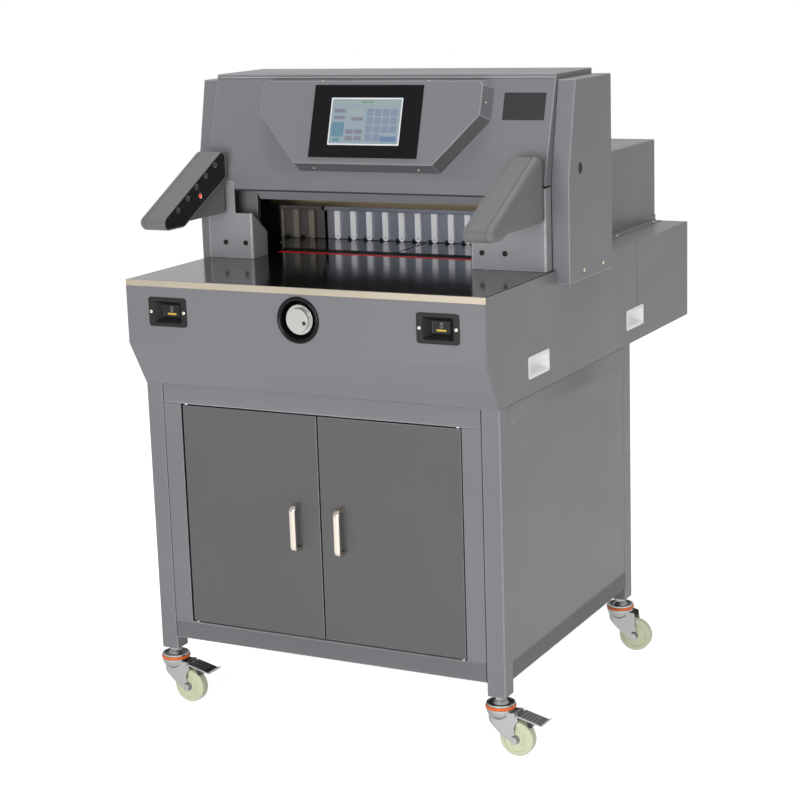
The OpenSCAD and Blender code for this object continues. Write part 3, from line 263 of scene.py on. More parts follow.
extras = {
    "paleLip": makeFinish("paleLip", "moulded", tone(232, 234, 236), 0.35),
    "displayGlow": makeFinish("displayGlow", "moulded", tone(124, 138, 146), 0.2, spread=0.06,
                              **{"Emission Color": tone(156, 172, 182), "Emission Strength": 0.25}),
    "keyPale": makeFinish("keyPale", "moulded", tone(118, 132, 148), 0.25,
                          **{"Emission Color": tone(136, 156, 184), "Emission Strength": 0.12}),
    "keyTeal": makeFinish("keyTeal", "moulded", tone(92, 126, 142), 0.25,
                          **{"Emission Color": tone(108, 152, 172), "Emission Strength": 0.12}),
    "keyBlue": makeFinish("keyBlue", "moulded", tone(96, 116, 148), 0.25,
                          **{"Emission Color": tone(112, 142, 186), "Emission Strength": 0.14}),
    "keyRose": makeFinish("keyRose", "moulded", tone(118, 116, 128), 0.25,
                          **{"Emission Color": tone(150, 146, 160), "Emission Strength": 0.12}),
    "fieldPale": makeFinish("fieldPale", "moulded", tone(138, 150, 152), 0.25,
                            **{"Emission Color": tone(172, 186, 186), "Emission Strength": 0.14}),
    "fieldGreen": makeFinish("fieldGreen", "moulded", tone(104, 138, 108), 0.25,
                             **{"Emission Color": tone(104, 176, 112), "Emission Strength": 0.14}),
    "darkPlate": makeFinish("darkPlate", "moulded", tone(46, 46, 48), 0.3, grain=400.0, depth=0.03),
    "brassScrew": makeFinish("brassScrew", "plated", tone(202, 196, 176), 0.3, metal=1.0, spread=0.05,
                             glossSpread=0.08, grain=500.0, depth=0.06),
    "brightScrew": makeFinish("brightScrew", "plated", tone(226, 222, 208), 0.26, metal=1.0, spread=0.04,
                              glossSpread=0.06, grain=500.0, depth=0.05),
    # near-black for screw recesses, holes and the throat walls' front faces: painted shade
    "recessShade": makeFinish("recessShade", "plated", tone(26, 25, 24), 0.6, metal=0.3),
    "rubber": makeFinish("blackRubberAndShade", "moulded", tone(16, 16, 17), 0.62, grain=1200.0, depth=0.2),
    # dark for open seam lines, and painted shade over the head's band fold; pale is a painted highlight at
    # the lid edge
    "seamAndShadeDark": makeFinish("seamAndShadeDark", "moulded", tone(52, 52, 54), 0.6, **softSheen),
    "seamHighlight": makeFinish("seamHighlight", "paint", tone(196, 196, 198), 0.35),
    "dialSatin": makeFinish("dialSatin", "plated", tone(181, 180, 177), 0.3, metal=1.0, spread=0.06,
                            glossSpread=0.06, grain=900.0, depth=0.05),
    # lighter copy of the grey paint for the top rails under the overhang: painted light
    "railLitPaint": makeFinish("railLitPaint", "paint", tone(156, 156, 160), 0.42, grain=600.0, depth=0.10,
                            **softSheen),
    # lighter copy of the grey paint for the guard brackets: painted light
    "bracketLitPaint": makeFinish("bracketLitPaint", "paint", tone(150, 150, 154), 0.38, grain=700.0, depth=0.10,
                               **softSheen),
    # darker copy of the grey paint for the console's downward chamfers: painted shade
    "chamferShadePaint": makeFinish("chamferShadePaint", "paint", tone(100, 100, 103), 0.42, grain=700.0, depth=0.12,
                               **softSheen),
    # near-black for edges inside the door gaps: painted shade
    "edgeShade": makeFinish("edgeShade", "moulded", tone(36, 36, 38), 0.6, **softSheen),
    # dark grey for the side frames' flanges in the throat: painted shade
    "throatShade": makeFinish("throatShade", "moulded", tone(62, 62, 64), 0.5, **softSheen),
    "raceDark": makeFinish("raceDark", "plated", tone(58, 62, 62), 0.4, metal=0.8, spread=0.2,
                           glossSpread=0.1, grain=200.0, depth=0.1),
    "markGrey": makeFinish("markGrey", "moulded", tone(150, 148, 140), 0.5),
    "markYellow": makeFinish("markYellow", "moulded", tone(212, 178, 70), 0.5),
    "lensDark": makeFinish("lensDark", "moulded", tone(44, 56, 54), 0.1, spread=0.2, depth=0.0, coat=0.6),
    "lensRed": makeFinish("lensRed", "moulded", tone(226, 30, 36), 0.15, coat=0.5,
                          **{"Emission Color": tone(240, 30, 34), "Emission Strength": 1.2}),
    "mirrorWall": makeFinish("mirrorWall", "brushedZ", tone(128, 120, 106), 0.06, metal=1.0, spread=0.03,
                             glossSpread=0.02, grain=900.0, depth=0.01),
}
print("finishes made:", len(finishes) + len(extras))


# mesh helpers

def newPiece(name, bm, mats, body, replaced=(), smoothBelow=38):
    bmesh.ops.recalc_face_normals(bm, faces=bm.faces)
    mesh = bpy.data.meshes.new(name)
    bm.to_mesh(mesh)
    bm.free()
    for mat in mats:
        mesh.materials.append(mat)
    mesh.polygons.foreach_set("use_smooth", [True] * len(mesh.polygons))
    mesh.set_sharp_from_angle(angle=math.radians(smoothBelow))
    piece = bpy.data.objects.new(name, mesh)
    scene.collection.objects.link(piece)
    even = piece.modifiers.new("evenNormals", "WEIGHTED_NORMAL")
    even.keep_sharp = True
    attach(piece, body)
    if replaced:
        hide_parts(*replaced)
    return piece


def faceWidth(face):
    return 2 * face.calc_area() / face.calc_perimeter()


def softCopy(nodeName, pieceName, fold=0.0, rim=0.0004, wearAndHighlight=1.0, wide=None, finish=None, second=None,
             pick=None, square=None, reshape=None):
    # the node's own shape, with rounded folds and eased sheet edges; square edges get no fold
    bm = bmesh.new()
    bm.from_mesh(nodes[nodeName].data)
    bmesh.ops.remove_doubles(bm, verts=bm.verts, dist=2e-6)
    bmesh.ops.dissolve_limit(bm, angle_limit=math.radians(0.4), verts=bm.verts, edges=bm.edges)
    mark = bm.faces.layers.float.new("foldEdge")
    limit = wide or 2.2 * fold

    def sharp():
        return [e for e in bm.edges if len(e.link_faces) == 2 and e.calc_face_angle() > math.radians(28)]

    # fold and rim faces are marked for the pale edge: worn thin paint and a painted highlight
    if fold:
        bends = [e for e in sharp() if e.is_convex and min(faceWidth(f) for f in e.link_faces) > limit
                 and not (square and square(e))]
        made = bmesh.ops.bevel(bm, geom=bends, offset=fold, offset_type="OFFSET", segments=4, profile=0.5,
                               affect="EDGES", clamp_overlap=False)
        for face in made["faces"]:
            face[mark] = wearAndHighlight
    if rim:
        made = bmesh.ops.bevel(bm, geom=sharp(), offset=rim, offset_type="OFFSET", segments=2, profile=0.5,
                               affect="EDGES", clamp_overlap=True)
        for face in made["faces"]:
            face[mark] = wearAndHighlight
    if reshape:
        reshape(bm)
    slot = slotOfNode[nodeName]
    mats = [finish or finishes[slot]] + ([second] if second else [])
    bm.normal_update()
    for face in bm.faces:
        face.material_index = 1 if second and pick(face) else 0
    return newPiece(pieceName, bm, mats, bodyOfNode[nodeName], (nodeName,))


def facing(place, outward, up=(0, 0, 1)):
    z = Vector(outward).normalized()
    x = Vector(up).cross(z).normalized()
    m = Matrix((x, z.cross(x), z)).transposed().to_4x4()
    m.translation = place
    return m


def loft(bm, at, rings, finish=0, closeStart=True, closeEnd=True, loop=False):
    made = [[bm.verts.new(at @ Vector(p)) for p in ring] for ring in rings]
    count = len(made[0])
    faces = []
    for low, high in zip(made, made[1:] + made[:1] if loop else made[1:]):
        for i in range(count):
            j = (i + 1) % count
            faces.append(bm.faces.new((low[i], low[j], high[j], high[i])))
    if closeStart and not loop:
        faces.append(bm.faces.new(list(reversed(made[0]))))
    if closeEnd and not loop:
        faces.append(bm.faces.new(made[-1]))
    for face in faces:
        face.material_index = finish
    return faces


def circle(radius, height, steps=48, shape=None):
    points = []
    for k in range(steps):
        a = 2 * math.pi * k / steps
        r = radius * (shape(a) if shape else 1)
        points.append((r * math.cos(a), r * math.sin(a), height))
    return points


def roundRect(width, high, corner, height, steps=5):
    points = []
    for sx, sy, start in ((1, 1, 0), (-1, 1, 90), (-1, -1, 180), (1, -1, 270)):
        for k in range(steps + 1):
            a = math.radians(start + 90 * k / steps)
            points.append((sx * (width / 2 - corner) + corner * math.cos(a),
                           sy * (high / 2 - corner) + corner * math.sin(a), height))
    return points


def lathe(bm, at, profile, finish=0, steps=64, loop=False):
    return loft(bm, at, [circle(r, z, steps) for r, z in profile], finish, loop=loop)


def softOutline(corners, inset, level, steps=10):
    # outline with rounded corners, run anticlockwise and drawn in by an inset
    points = []
    for k, (u, v, radius) in enumerate(corners):
        here = Vector((u, v))
        a = (here - Vector(corners[k - 1][:2])).normalized()
        b = (Vector(corners[(k + 1) % len(corners)][:2]) - here).normalized()
        inA, inB = Vector((-a.y, a.x)), Vector((-b.y, b.x))
        half = (inA + inB).normalized()
        tip = here + half * (inset / half.dot(inA))
        turn = math.atan2(a.x * b.y - a.y * b.x, a.dot(b))
        side = 1 if turn > 0 else -1
        r = max(radius - side * inset, 0.0004)
        start = tip - a * (r * math.tan(abs(turn) / 2))
        centre = start + inA * (side * r)
        for i in range(steps + 1):
            q = turn * i / steps
            d = start - centre
            points.append((centre.x + d.x * math.cos(q) - d.y * math.sin(q),
                           centre.y + d.x * math.sin(q) + d.y * math.cos(q), level))
    return points


def hexShape(a):
    return math.cos(math.pi / 6) / math.cos((a + math.pi / 6) % (math.pi / 3) - math.pi / 6)


def crossShape(a):
    local = (a + math.pi / 4) % (math.pi / 2) - math.pi / 4
    return min(1 / math.cos(local), 0.24 / max(abs(math.sin(local)), 1e-6))


def screwHead(bm, at, radius, height, recess, finish=0, dark=0):
    # domed head with a hexagon or cross recess; the recess takes the dark finish, painted shade
    across = 0.5 * radius
    loft(bm, at, [circle(radius, 0), circle(radius, 0.5 * height), circle(0.93 * radius, 0.8 * height),
                  circle(0.78 * radius, height), circle(0.62 * radius, 1.02 * height),
                  circle(across, 1.02 * height, shape=recess)], finish, closeEnd=False)
    loft(bm, at, [circle(across, 1.02 * height, shape=recess),
                  circle(0.88 * across, 0.35 * height, shape=recess)], dark, closeStart=False)


def plate(bm, at, width, high, corner, thick, ease, finish=0):
    loft(bm, at, [roundRect(width, high, corner, 0), roundRect(width, high, corner, thick - ease),
                  roundRect(width - ease, high - ease, corner - ease / 2, thick - 0.3 * ease),
                  roundRect(width - 2.4 * ease, high - 2.4 * ease, max(corner - 1.2 * ease, 1e-4),
                            thick)], finish)


# sheet metal and solid pieces that keep their own shape, with real folds
# a third number sets the pale fold edge: worn paint and a painted highlight
sheetFolds = {
    "stand_legs": (0.0025, 0.0004), "base_front_panel": (0.0015, 0.0004, 0.0),
    "base_panels": (0.0, 0.0007, 0.3), "column_covers": (0.0022, 0.0005),
    "head_cover": (0.0022, 0.0005), "touch_screen": (0.0008, 0.0004),
    "front_table": (0.0006, 0.0004), "rear_table": (0.0, 0.0005),
    "table_trim": (0.0, 0.0008), "cutting_stick": (0.0, 0.0005), "caster_seals": (0.0, 0.0012),
    "blade": (0.0, 0.0003), "clamp_beam": (0.001, 0.0006), "blade_carrier": (0.001, 0.0006),
    "backgauge": (0.0015, 0.0005), "gauge_fingers": (0.0, 0.0008),
    "power_inlet": (0.0, 0.0006), "head_beam": (0.0015, 0.0008),
    "blade_drive": (0.002, 0.001), "clamp_nut": (0.0, 0.001), "gauge_motor": (0.002, 0.0008),
}
for corner in ("fl", "fr", "rl", "rr"):
    sheetFolds["caster_wheel_" + corner] = (0.0, 0.0006)
for nodeName, folds in sheetFolds.items():
    words = nodeName.split("_")
    softCopy(nodeName, words[0] + "".join(w.capitalize() for w in words[1:]) + "Shape", *folds)

# places by which faces get a second finish and edges stay square
limits = {"guardFront": 0.1525, "panelFace": 0.323, "topRail": 0.66, "race": 0.104, "throat": 0.3634}
# throat walls: their front faces are dark, painted shade
softCopy("throat_walls", "throatWallsShape", 0.0, 0.0005, finish=extras["mirrorWall"],
         second=extras["recessShade"], pick=lambda face: face.normal.y < -0.6)
# guard brackets: the lighter paint is painted light, and their folds get a strong painted highlight
softCopy("guard_brackets", "guardBracketsShape", 0.004, 0.0005, 2.2, finish=extras["bracketLitPaint"])
softCopy("rear_guard", "rearGuardShape", 0.003, 0.0005,
         square=lambda edge: max(v.co.y for v in edge.verts) < limits["guardFront"])
# console: faces turned downward take the darker paint, painted shade
softCopy("console", "consoleShape", 0.0018, 0.0005, second=extras["chamferShadePaint"],
         pick=lambda face: face.normal.z < -0.35)
# the cabinet's door opening faces and the doors' edges are near-black: painted shade in the gaps
softCopy("cabinet_panels", "cabinetPanelsShape", 0.0012, 0.0003, second=extras["edgeShade"],
         pick=lambda face: (abs(face.normal.x) > 0.9
                            and abs(abs(face.calc_center_median().x) - limits["panelFace"]) < 5e-4))
for side in ("Left", "Right"):
    softCopy("door_" + side.lower(), "door" + side + "Shape", 0.0015, 0.0004, second=extras["edgeShade"],
             pick=lambda face: abs(face.normal.y) < 0.3)
# top rails under the housing's overhang take the lighter paint: painted light
softCopy("stand_rails", "standRailsShape", 0.0025, 0.0004, second=extras["railLitPaint"],
         pick=lambda face: face.calc_center_median().z > limits["topRail"])
softCopy("caster_stems", "casterStemsShape", 0.0, 0.0006, second=extras["raceDark"],
         pick=lambda face: face.normal.z > 0.9 and abs(face.calc_center_median().z - limits["race"]) < 4e-4)


def isFlange(face):
    middle = face.calc_center_median()
    return abs(middle.x) < limits["throat"] and face.normal.y > -0.5


# the side frames' flanges inside the throat are dark: painted shade
softCopy("side_frames", "sideFramesShape", 0.0015, 0.0008, second=extras["throatShade"], pick=isFlange)

# forks: the ring under the seal is thin and flares into the pressed cheeks
forks = {"legs": {"fl": (-0.385, -0.330), "fr": (0.385, -0.330), "rl": (-0.385, 0.330), "rr": (0.385, 0.330)},
         "ring": 0.0285, "lowerEdge": (0.085, 0.0868), "rise": 0.0066}


def makeFork(f, corner):
    leg = Vector(f["legs"][corner])

    def flare(bm):
        low, high = f["lowerEdge"]
        rim = [v for v in bm.verts if (v.co.xy - leg).length > f["ring"] and low < v.co.z < high]
        bmesh.ops.triangulate(bm, faces=list({face for v in rim for face in v.link_faces}))
        for v in rim:
            v.co.z += f["rise"]

    softCopy("caster_fork_" + corner, "casterFork" + corner.capitalize() + "Shape", 0.0, 0.0007,
             reshape=flare)


for corner in forks["legs"]:
    makeFork(forks, corner)

# brake pedals: the shoe's lower half is rubber
pedals = {"turn": math.radians(-2), "shoe": (0.071, 0.0752), "reach": 0.0085}
for corner in ("fl", "fr"):
    leg = Vector(forks["legs"][corner])
    ahead = Vector((math.cos(pedals["turn"]), math.sin(pedals["turn"])))

    def isTread(face):
        middle = face.calc_center_median()
        along = (middle.xy - leg).dot(ahead)
        return abs(along - pedals["shoe"][0]) < pedals["reach"] and middle.z < pedals["shoe"][1]

    softCopy("brake_pedal_" + corner, "brakePedal" + corner.capitalize(), 0.0, 0.0006,
             second=extras["rubber"], pick=isTread)
print("folded pieces made")

# slanted front of the head: X across, Y up the slope, Z outward
slopeFrame = Matrix.Translation((0, -0.0917, 1.116)) @ Matrix.Rotation(math.radians(72.4), 4, "X")


# display on the screen's bezel: pale lip, lit face and plain tiles without lettering
display = {"centre": 0.1045, "level": 0.040, "wide": 0.160, "high": 0.093,
           "lip": [(0.006, 0.0015, -0.0002), (0.006, 0.0015, 0.0004), (0.005, 0.0012, 0.0008),
                   (0.001, 0.0008, 0.0008), (0.0, 0.0006, 0.0005), (0.0, 0.0006, -0.0002)],
           "face": {"less": 0.0002, "corner": 0.0006, "thick": 0.0004, "ease": 0.00005},
           "tile": {"level": 0.00036, "corner": 0.0007, "thick": 0.00014, "raised": 0.00018, "ease": 0.00005},
           "tiles": [(.02, .98, .90, .97, "fieldPale"), (.42, .60, .915, .955, "fieldGreen"),
                     (.04, .20, .70, .78, "keyRose"), (.04, .20, .55, .62, "keyRose"),
                     (.23, .47, .62, .80, "fieldPale"), (.30, .47, .52, .59, "keyRose"),
                     (.02, .20, .16, .48, "keyTeal"), (.05, .15, .05, .12, "keyTeal"),
                     (.23, .34, .22, .32, "keyRose"), (.36, .47, .22, .32, "keyRose"),
                     (.23, .34, .07, .17, "keyRose"), (.36, .47, .07, .17, "keyRose"),
                     (.74, .97, .05, .17, "keyBlue")],
           "grid": {"u": (.51, .97), "v": (.05, .80), "columns": 4, "rows": 4, "fill": 0.84}}


def makeDisplay(d):
    bm = bmesh.new()
    at = slopeFrame @ Matrix.Translation((0, d["centre"], d["level"]))
    w, h, f, t = d["wide"], d["high"], d["face"], d["tile"]
    loft(bm, at, [roundRect(w + more, h + more, corner, z) for more, corner, z in d["lip"]], loop=True)
    plate(bm, at, w - f["less"], h - f["less"], f["corner"], f["thick"], f["ease"], 1)
    mats = [extras["paleLip"], extras["displayGlow"]]
    tiles = list(d["tiles"])
    g = d["grid"]
    du, dv = ((g[k][1] - g[k][0]) / g[n] for k, n in (("u", "columns"), ("v", "rows")))
    for i in range(g["columns"]):
        for j in range(g["rows"]):
            if j == 0 and i > 1:
                continue
            u, v = g["u"][0] + (i + 0.5) * du, g["v"][0] + (j + 0.5) * dv
            tiles.append((u - g["fill"] * du / 2, u + g["fill"] * du / 2, v - g["fill"] * dv / 2,
                          v + g["fill"] * dv / 2, "keyPale"))
    for k, (u0, u1, v0, v1, finish) in enumerate(tiles):
        if extras[finish] not in mats:
            mats.append(extras[finish])
        spot = at @ Matrix.Translation((((u0 + u1) / 2 - 0.5) * w, ((v0 + v1) / 2 - 0.5) * h, t["level"]))
        thick = t["raised"] if k == 1 else t["thick"]  # the second tile lies on the first
        plate(bm, spot, (u1 - u0) * w, (v1 - v0) * h, t["corner"], thick, t["ease"],
              mats.index(extras[finish]))
    newPiece("displayFace", bm, mats, "frame")


makeDisplay(display)

# bare dark plate on the slanted front
barePlate = {"x": 0.3345, "s": 0.147, "wide": 0.091, "high": 0.056, "corner": 0.0015, "thick": 0.0006,
             "ease": 0.0002, "lineCorner": 0.001,
             "line": [(0.004, 0.0005), (0.004, 0.00068), (0.0046, 0.00068), (0.0046, 0.0005)]}


def makeBarePlate(b):
    bm = bmesh.new()
    at = slopeFrame @ Matrix.Translation((b["x"], b["s"], 0))
    plate(bm, at, b["wide"], b["high"], b["corner"], b["thick"], b["ease"])
    rings = [roundRect(b["wide"] - d, b["high"] - d, b["lineCorner"], z) for d, z in b["line"]]
    loft(bm, at, rings, loop=True)
    newPiece("barePlate", bm, [extras["darkPlate"]], "frame")


makeBarePlate(barePlate)
print("display and plate made")


# screws: console, columns, guard brackets, button plates and rear panel
consoleScrews = {"radius": 0.0026, "high": 0.0011,
                 "spots": [((0.1226, 0.01065, 0.015), (0, -0.9717, 0.2364)),
                           ((0.1236, 0.19585, 0.015), (0, 0.9717, 0.2364)),
                           ((0.2601, 0.150, 0.020), (0.9717, 0, 0.2364))]}
bm = bmesh.new()
for side in (1, -1):
    for (x, y, z), (nx, ny, nz) in consoleScrews["spots"]:
        spot = slopeFrame @ Vector((side * x, y, z))
        out = slopeFrame.to_3x3() @ Vector((side * nx, ny, nz))
        at = facing(spot, out, (1, 0.1, 0.2))
        screwHead(bm, at, consoleScrews["radius"], consoleScrews["high"], crossShape, 0, 1)
newPiece("consoleScrews", bm, [extras["brightScrew"], extras["recessShade"]], "frame")

coverScrews = {"column": [(s * 0.435, y, 0.922) for s in (1, -1) for y in (0.011, 0.116)],
               "bracket": [(x, -0.0945, 0.9655) for x in (0.2565, 0.3075, -0.3035, -0.3535)],
               "button": [(s * 0.305 + d, -0.405, 0.867) for s in (1, -1) for d in (-0.039, 0.039)],
               "heads": {"column": (0.0042, 0.0022, crossShape), "bracket": (0.0055, 0.0029, hexShape),
                         "button": (0.0035, 0.0014, crossShape)}}
bm = bmesh.new()
for finish, (kind, head) in enumerate(coverScrews["heads"].items()):
    for x, y, z in coverScrews[kind]:
        out = (x, 0, 0) if kind == "column" else (0, -1, 0)
        screwHead(bm, facing((x, y, z), out), *head, finish, 3)
newPiece("coverScrews", bm, [extras["brassScrew"], finishes["screw_dark"], extras["brightScrew"],
                             extras["recessShade"]], "frame", ("cover_screws",))

rearScrews = {"radius": 0.004, "high": 0.0017,
              "spots": [(x, 0.735, z) for x in (-0.385, -0.13, 0.13, 0.385) for z in (0.716, 0.914)]
                       + [(x, 0.349, z) for x in (-0.35, 0.0, 0.35) for z in (0.2, 0.65)]}
bm = bmesh.new()
for spot in rearScrews["spots"]:
    screwHead(bm, facing(spot, (0, 1, 0)), rearScrews["radius"], rearScrews["high"], crossShape, 0, 1)
newPiece("rearScrews", bm, [extras["brightScrew"], extras["recessShade"]], "frame")
print("screws made")


# cut buttons: recessed plates with sloping dishes, and keys with a ring and a plain bar
buttonPlates = {"x": 0.305, "y": -0.403, "z": 0.867,
                "rings": [(0.042, 0.028, 0.002, -0.031), (0.0819, 0.0499, 0.002, -0.031),
                          (0.0819, 0.0499, 0.002, 0.0), (0.091, 0.060, 0.006, 0.0),
                          (0.091, 0.060, 0.006, 0.0014), (0.0902, 0.0592, 0.0056, 0.0019),
                          (0.0892, 0.0582, 0.005, 0.002),
                          (0.0675, 0.0455, 0.005, 0.002), (0.0662, 0.0442, 0.0045, 0.0016),
                          (0.0655, 0.0436, 0.0042, 0.0004), (0.046, 0.0315, 0.003, -0.0125),
                          (0.0436, 0.0292, 0.0025, -0.0138), (0.042, 0.028, 0.002, -0.0142)]}
bm = bmesh.new()
for side in (1, -1):
    at = facing((side * buttonPlates["x"], buttonPlates["y"], buttonPlates["z"]), (0, -1, 0))
    loft(bm, at, [roundRect(*ring) for ring in buttonPlates["rings"]], 0, loop=True)
newPiece("buttonPlates", bm, [finishes["black_plastic"]], "frame", ("button_plates",))

cutKey = {"wide": 0.0408, "high": 0.0268,
          "rings": [(0.0, 0.002, -0.029), (0.0, 0.002, -0.0152), (0.0006, 0.0018, -0.0144),
                    (0.0016, 0.0016, -0.014), (0.0036, 0.0014, -0.0141), (0.0056, 0.0014, -0.0148)],
          "floor": -0.0149, "ring": {"at": 0.0036, "wide": 0.0056, "high": 0.0112, "line": 0.0011,
                                     "thick": 0.00022},
          "bar": {"at": -0.0062, "wide": 0.0205, "high": 0.0042, "corner": 0.0006, "thick": 0.00024,
                  "ease": 0.0001}}


def makeKey(k, side, label):
    bm = bmesh.new()
    at = facing((side * buttonPlates["x"], buttonPlates["y"], buttonPlates["z"]), (0, -1, 0))
    loft(bm, at, [roundRect(k["wide"] - d, k["high"] - d, c, z) for d, c, z in k["rings"]], 0)
    r = k["ring"]
    mark = at @ Matrix.Translation((0, r["at"], k["floor"]))
    steps = ((0, 0), (0, r["thick"]), (2 * r["line"], r["thick"]), (2 * r["line"], 0))
    loft(bm, mark, [roundRect(r["wide"] - d, r["high"] - d, (r["wide"] - d) / 2 - 1e-5, z) for d, z in steps],
         1, loop=True)
    b = k["bar"]
    mark = at @ Matrix.Translation((0, b["at"], k["floor"]))
    plate(bm, mark, b["wide"], b["high"], b["corner"], b["thick"], b["ease"], 2)
    newPiece("cutKey" + label, bm, [finishes["black_plastic"], extras["markGrey"], extras["markYellow"]],
             "button_" + label.lower(), ("cut_button_" + label.lower(),))


makeKey(cutKey, 1, "Right")
makeKey(cutKey, -1, "Left")

# dial: glossy dished cup, and the turned knob's finger hole lined black as painted shade
dialCup = {"at": (0, -0.403, 0.867),
           "profile": [(0.00605, -0.026), (0.0409, -0.026), (0.0409, 0.0), (0.047, 0.0), (0.047, 0.0012),
                       (0.0465, 0.0026), (0.0452, 0.0037), (0.0435, 0.004), (0.0415, 0.0037),
                       (0.0398, 0.0027), (0.0384, 0.0010), (0.0374, -0.002), (0.0366, -0.008),
                       (0.0358, -0.015), (0.0345, -0.0195), (0.0325, -0.0217), (0.030, -0.022),
                       (0.0064, -0.022), (0.00605, -0.0224)]}
bm = bmesh.new()
lathe(bm, facing(dialCup["at"], (0, -1, 0)), dialCup["profile"], 0, 96, loop=True)
newPiece("dialCup", bm, [finishes["gloss_black"]], "frame", ("dial_cup",), 50)

knob = {"fold": 0.0014, "rim": 0.0005, "hole": (0.01584, -0.409, 0.8622),
        "liner": [(0.0039, -0.0028), (0.0039, -0.0006), (0.0036, -0.0003), (0.0031, -0.0007),
                  (0.0026, -0.0021), (0.0012, -0.0025)]}
softCopy("gauge_dial", "gaugeDial", knob["fold"], knob["rim"], wide=0.002, finish=extras["dialSatin"])
bm = bmesh.new()
lathe(bm, facing(knob["hole"], (0, -1, 0)), knob["liner"], 0, 32)
newPiece("knobHole", bm, [extras["rubber"]], "gauge_dial", (), 50)
print("buttons and dial made")

# door pulls: one rounded bar, bent back to the door at both ends
pulls = {"x": 0.051, "y": -0.348, "z": 0.428, "long": 0.100, "out": 0.030, "thick": 0.009, "wide": 0.014,
         "corner": 0.0043, "bend": 0.0095, "steps": 10}


def makePull(p, side, label):
    reach, half = p["out"] - p["thick"] / 2, p["long"] / 2 - p["thick"] / 2
    path = [(0.0, half, 0.0)]
    for k in range(p["steps"] + 1):
        turn = math.radians(90 * k / p["steps"])
        path.append((reach - p["bend"] * (1 - math.sin(turn)), half - p["bend"] * (1 - math.cos(turn)), turn))
    path += [(out, -up, math.pi - turn) for out, up, turn in reversed(path)]
    section = roundRect(p["wide"], p["thick"], p["corner"], 0)
    bm = bmesh.new()
    rings = [[(side * p["x"] + u, p["y"] - out - v * math.sin(turn), p["z"] + up + v * math.cos(turn))
              for u, v, _ in section] for out, up, turn in path]
    loft(bm, Matrix(), rings)
    newPiece("doorPull" + label, bm, [finishes["satin_chrome"]], "door_" + label.lower(),
             ("door_pull_" + label.lower(),), 50)


makePull(pulls, 1, "Right")
makePull(pulls, -1, "Left")

# carry grips: flange with a pocket of sloping walls
grips = {"x": 0.405, "z": 0.758, "ys": (-0.1585, 0.381),
         "rings": [(0.0959, 0.0369, 0.004, -0.025), (0.0959, 0.0369, 0.004, 0.0), (0.104, 0.045, 0.005, 0.0),
                   (0.104, 0.045, 0.005, 0.0009), (0.1034, 0.0444, 0.0047, 0.0014),
                   (0.1024, 0.0434, 0.0042, 0.0015), (0.0915, 0.0325, 0.003, 0.0015),
                   (0.0904, 0.0314, 0.0026, 0.0011), (0.0896, 0.0306, 0.0024, 0.0),
                   (0.062, 0.0145, 0.0015, -0.0205), (0.058, 0.0105, 0.001, -0.0215)]}
bm = bmesh.new()
for side in (1, -1):
    for y in grips["ys"]:
        at = facing((side * grips["x"], y, grips["z"]), (side, 0, 0))
        loft(bm, at, [roundRect(*ring) for ring in grips["rings"]])
newPiece("carryGrips", bm, [finishes["grip_white"]], "frame", ("carry_grips",), 30)

# sensor arms: crowned body with a parting line, inner band, dark panel with lenses, mounting pad
arms = {"body": [(-0.107, 1.031, 0.004), (-0.107, 1.1736, 0.016), (-0.3975, 1.023, 0.015),
                 (-0.300, 1.023, 0.03), (-0.272, 1.031, 0.03)],
        "band": [(-0.107, 1.107, 0.004), (-0.107, 1.1736, 0.016), (-0.3975, 1.023, 0.015),
                 (-0.278, 1.023, 0.02)],
        "bodyRun": [(0.344, 0.0012), (0.3448, 0.0003), (0.346, 0.0), (0.3832, 0.0), (0.3836, 0.0009),
                    (0.3844, 0.0009), (0.3848, 0.0)],
        "crown": (0.388, 0.013), "bandRun": [(0.3446, 0.0), (0.3375, 0.0), (0.3364, 0.0005), (0.336, 0.0014),
                                             (0.336, 0.0026), (0.3363, 0.003), (0.338, 0.0031)],
        "panelRun": [(0.338, 0.0032), (0.3369, 0.0032), (0.3365, 0.0037)],
        "pad": {"x": 0.368, "y": -0.107, "z": 1.0625, "wide": 0.036, "high": 0.057, "corner": 0.003,
                "thick": 0.0125, "ease": 0.0006},
        "outerFace": 0.401, "innerFace": 0.3365,
        "hole": [(0.0032, -0.001), (0.0032, 0.0), (0.0022, -0.0001), (0.002, -0.0006)],
        "lensRim": [(0.0058, -0.0006), (0.0058, 0.0001), (0.0054, 0.0003), (0.0049, 0.0001),
                    (0.0047, -0.0003), (0.0047, -0.0006)],
        "lens": [(0.0047, -0.0006), (0.0046, 0.0), (0.0036, 0.0003), (0.0018, 0.0004)],
        "lampRim": [(0.0062, -0.0006), (0.0062, 0.0002), (0.0056, 0.0005), (0.0046, 0.0003),
                    (0.0043, -0.0002), (0.0043, -0.0006)],
        "bulb": [(0.0043, -0.0006), (0.0041, 0.0001), (0.003, 0.0004), (0.0014, 0.0005)],
        "holes": [(-0.312, 1.043), (-0.1672, 1.0433), (-0.135, 1.135)],
        "lenses": [(-0.149, 1.1375), (-0.1865, 1.119), (-0.224, 1.100), (-0.260, 1.080), (-0.298, 1.060)],
        "lamp": (-0.2125, 1.0797)}


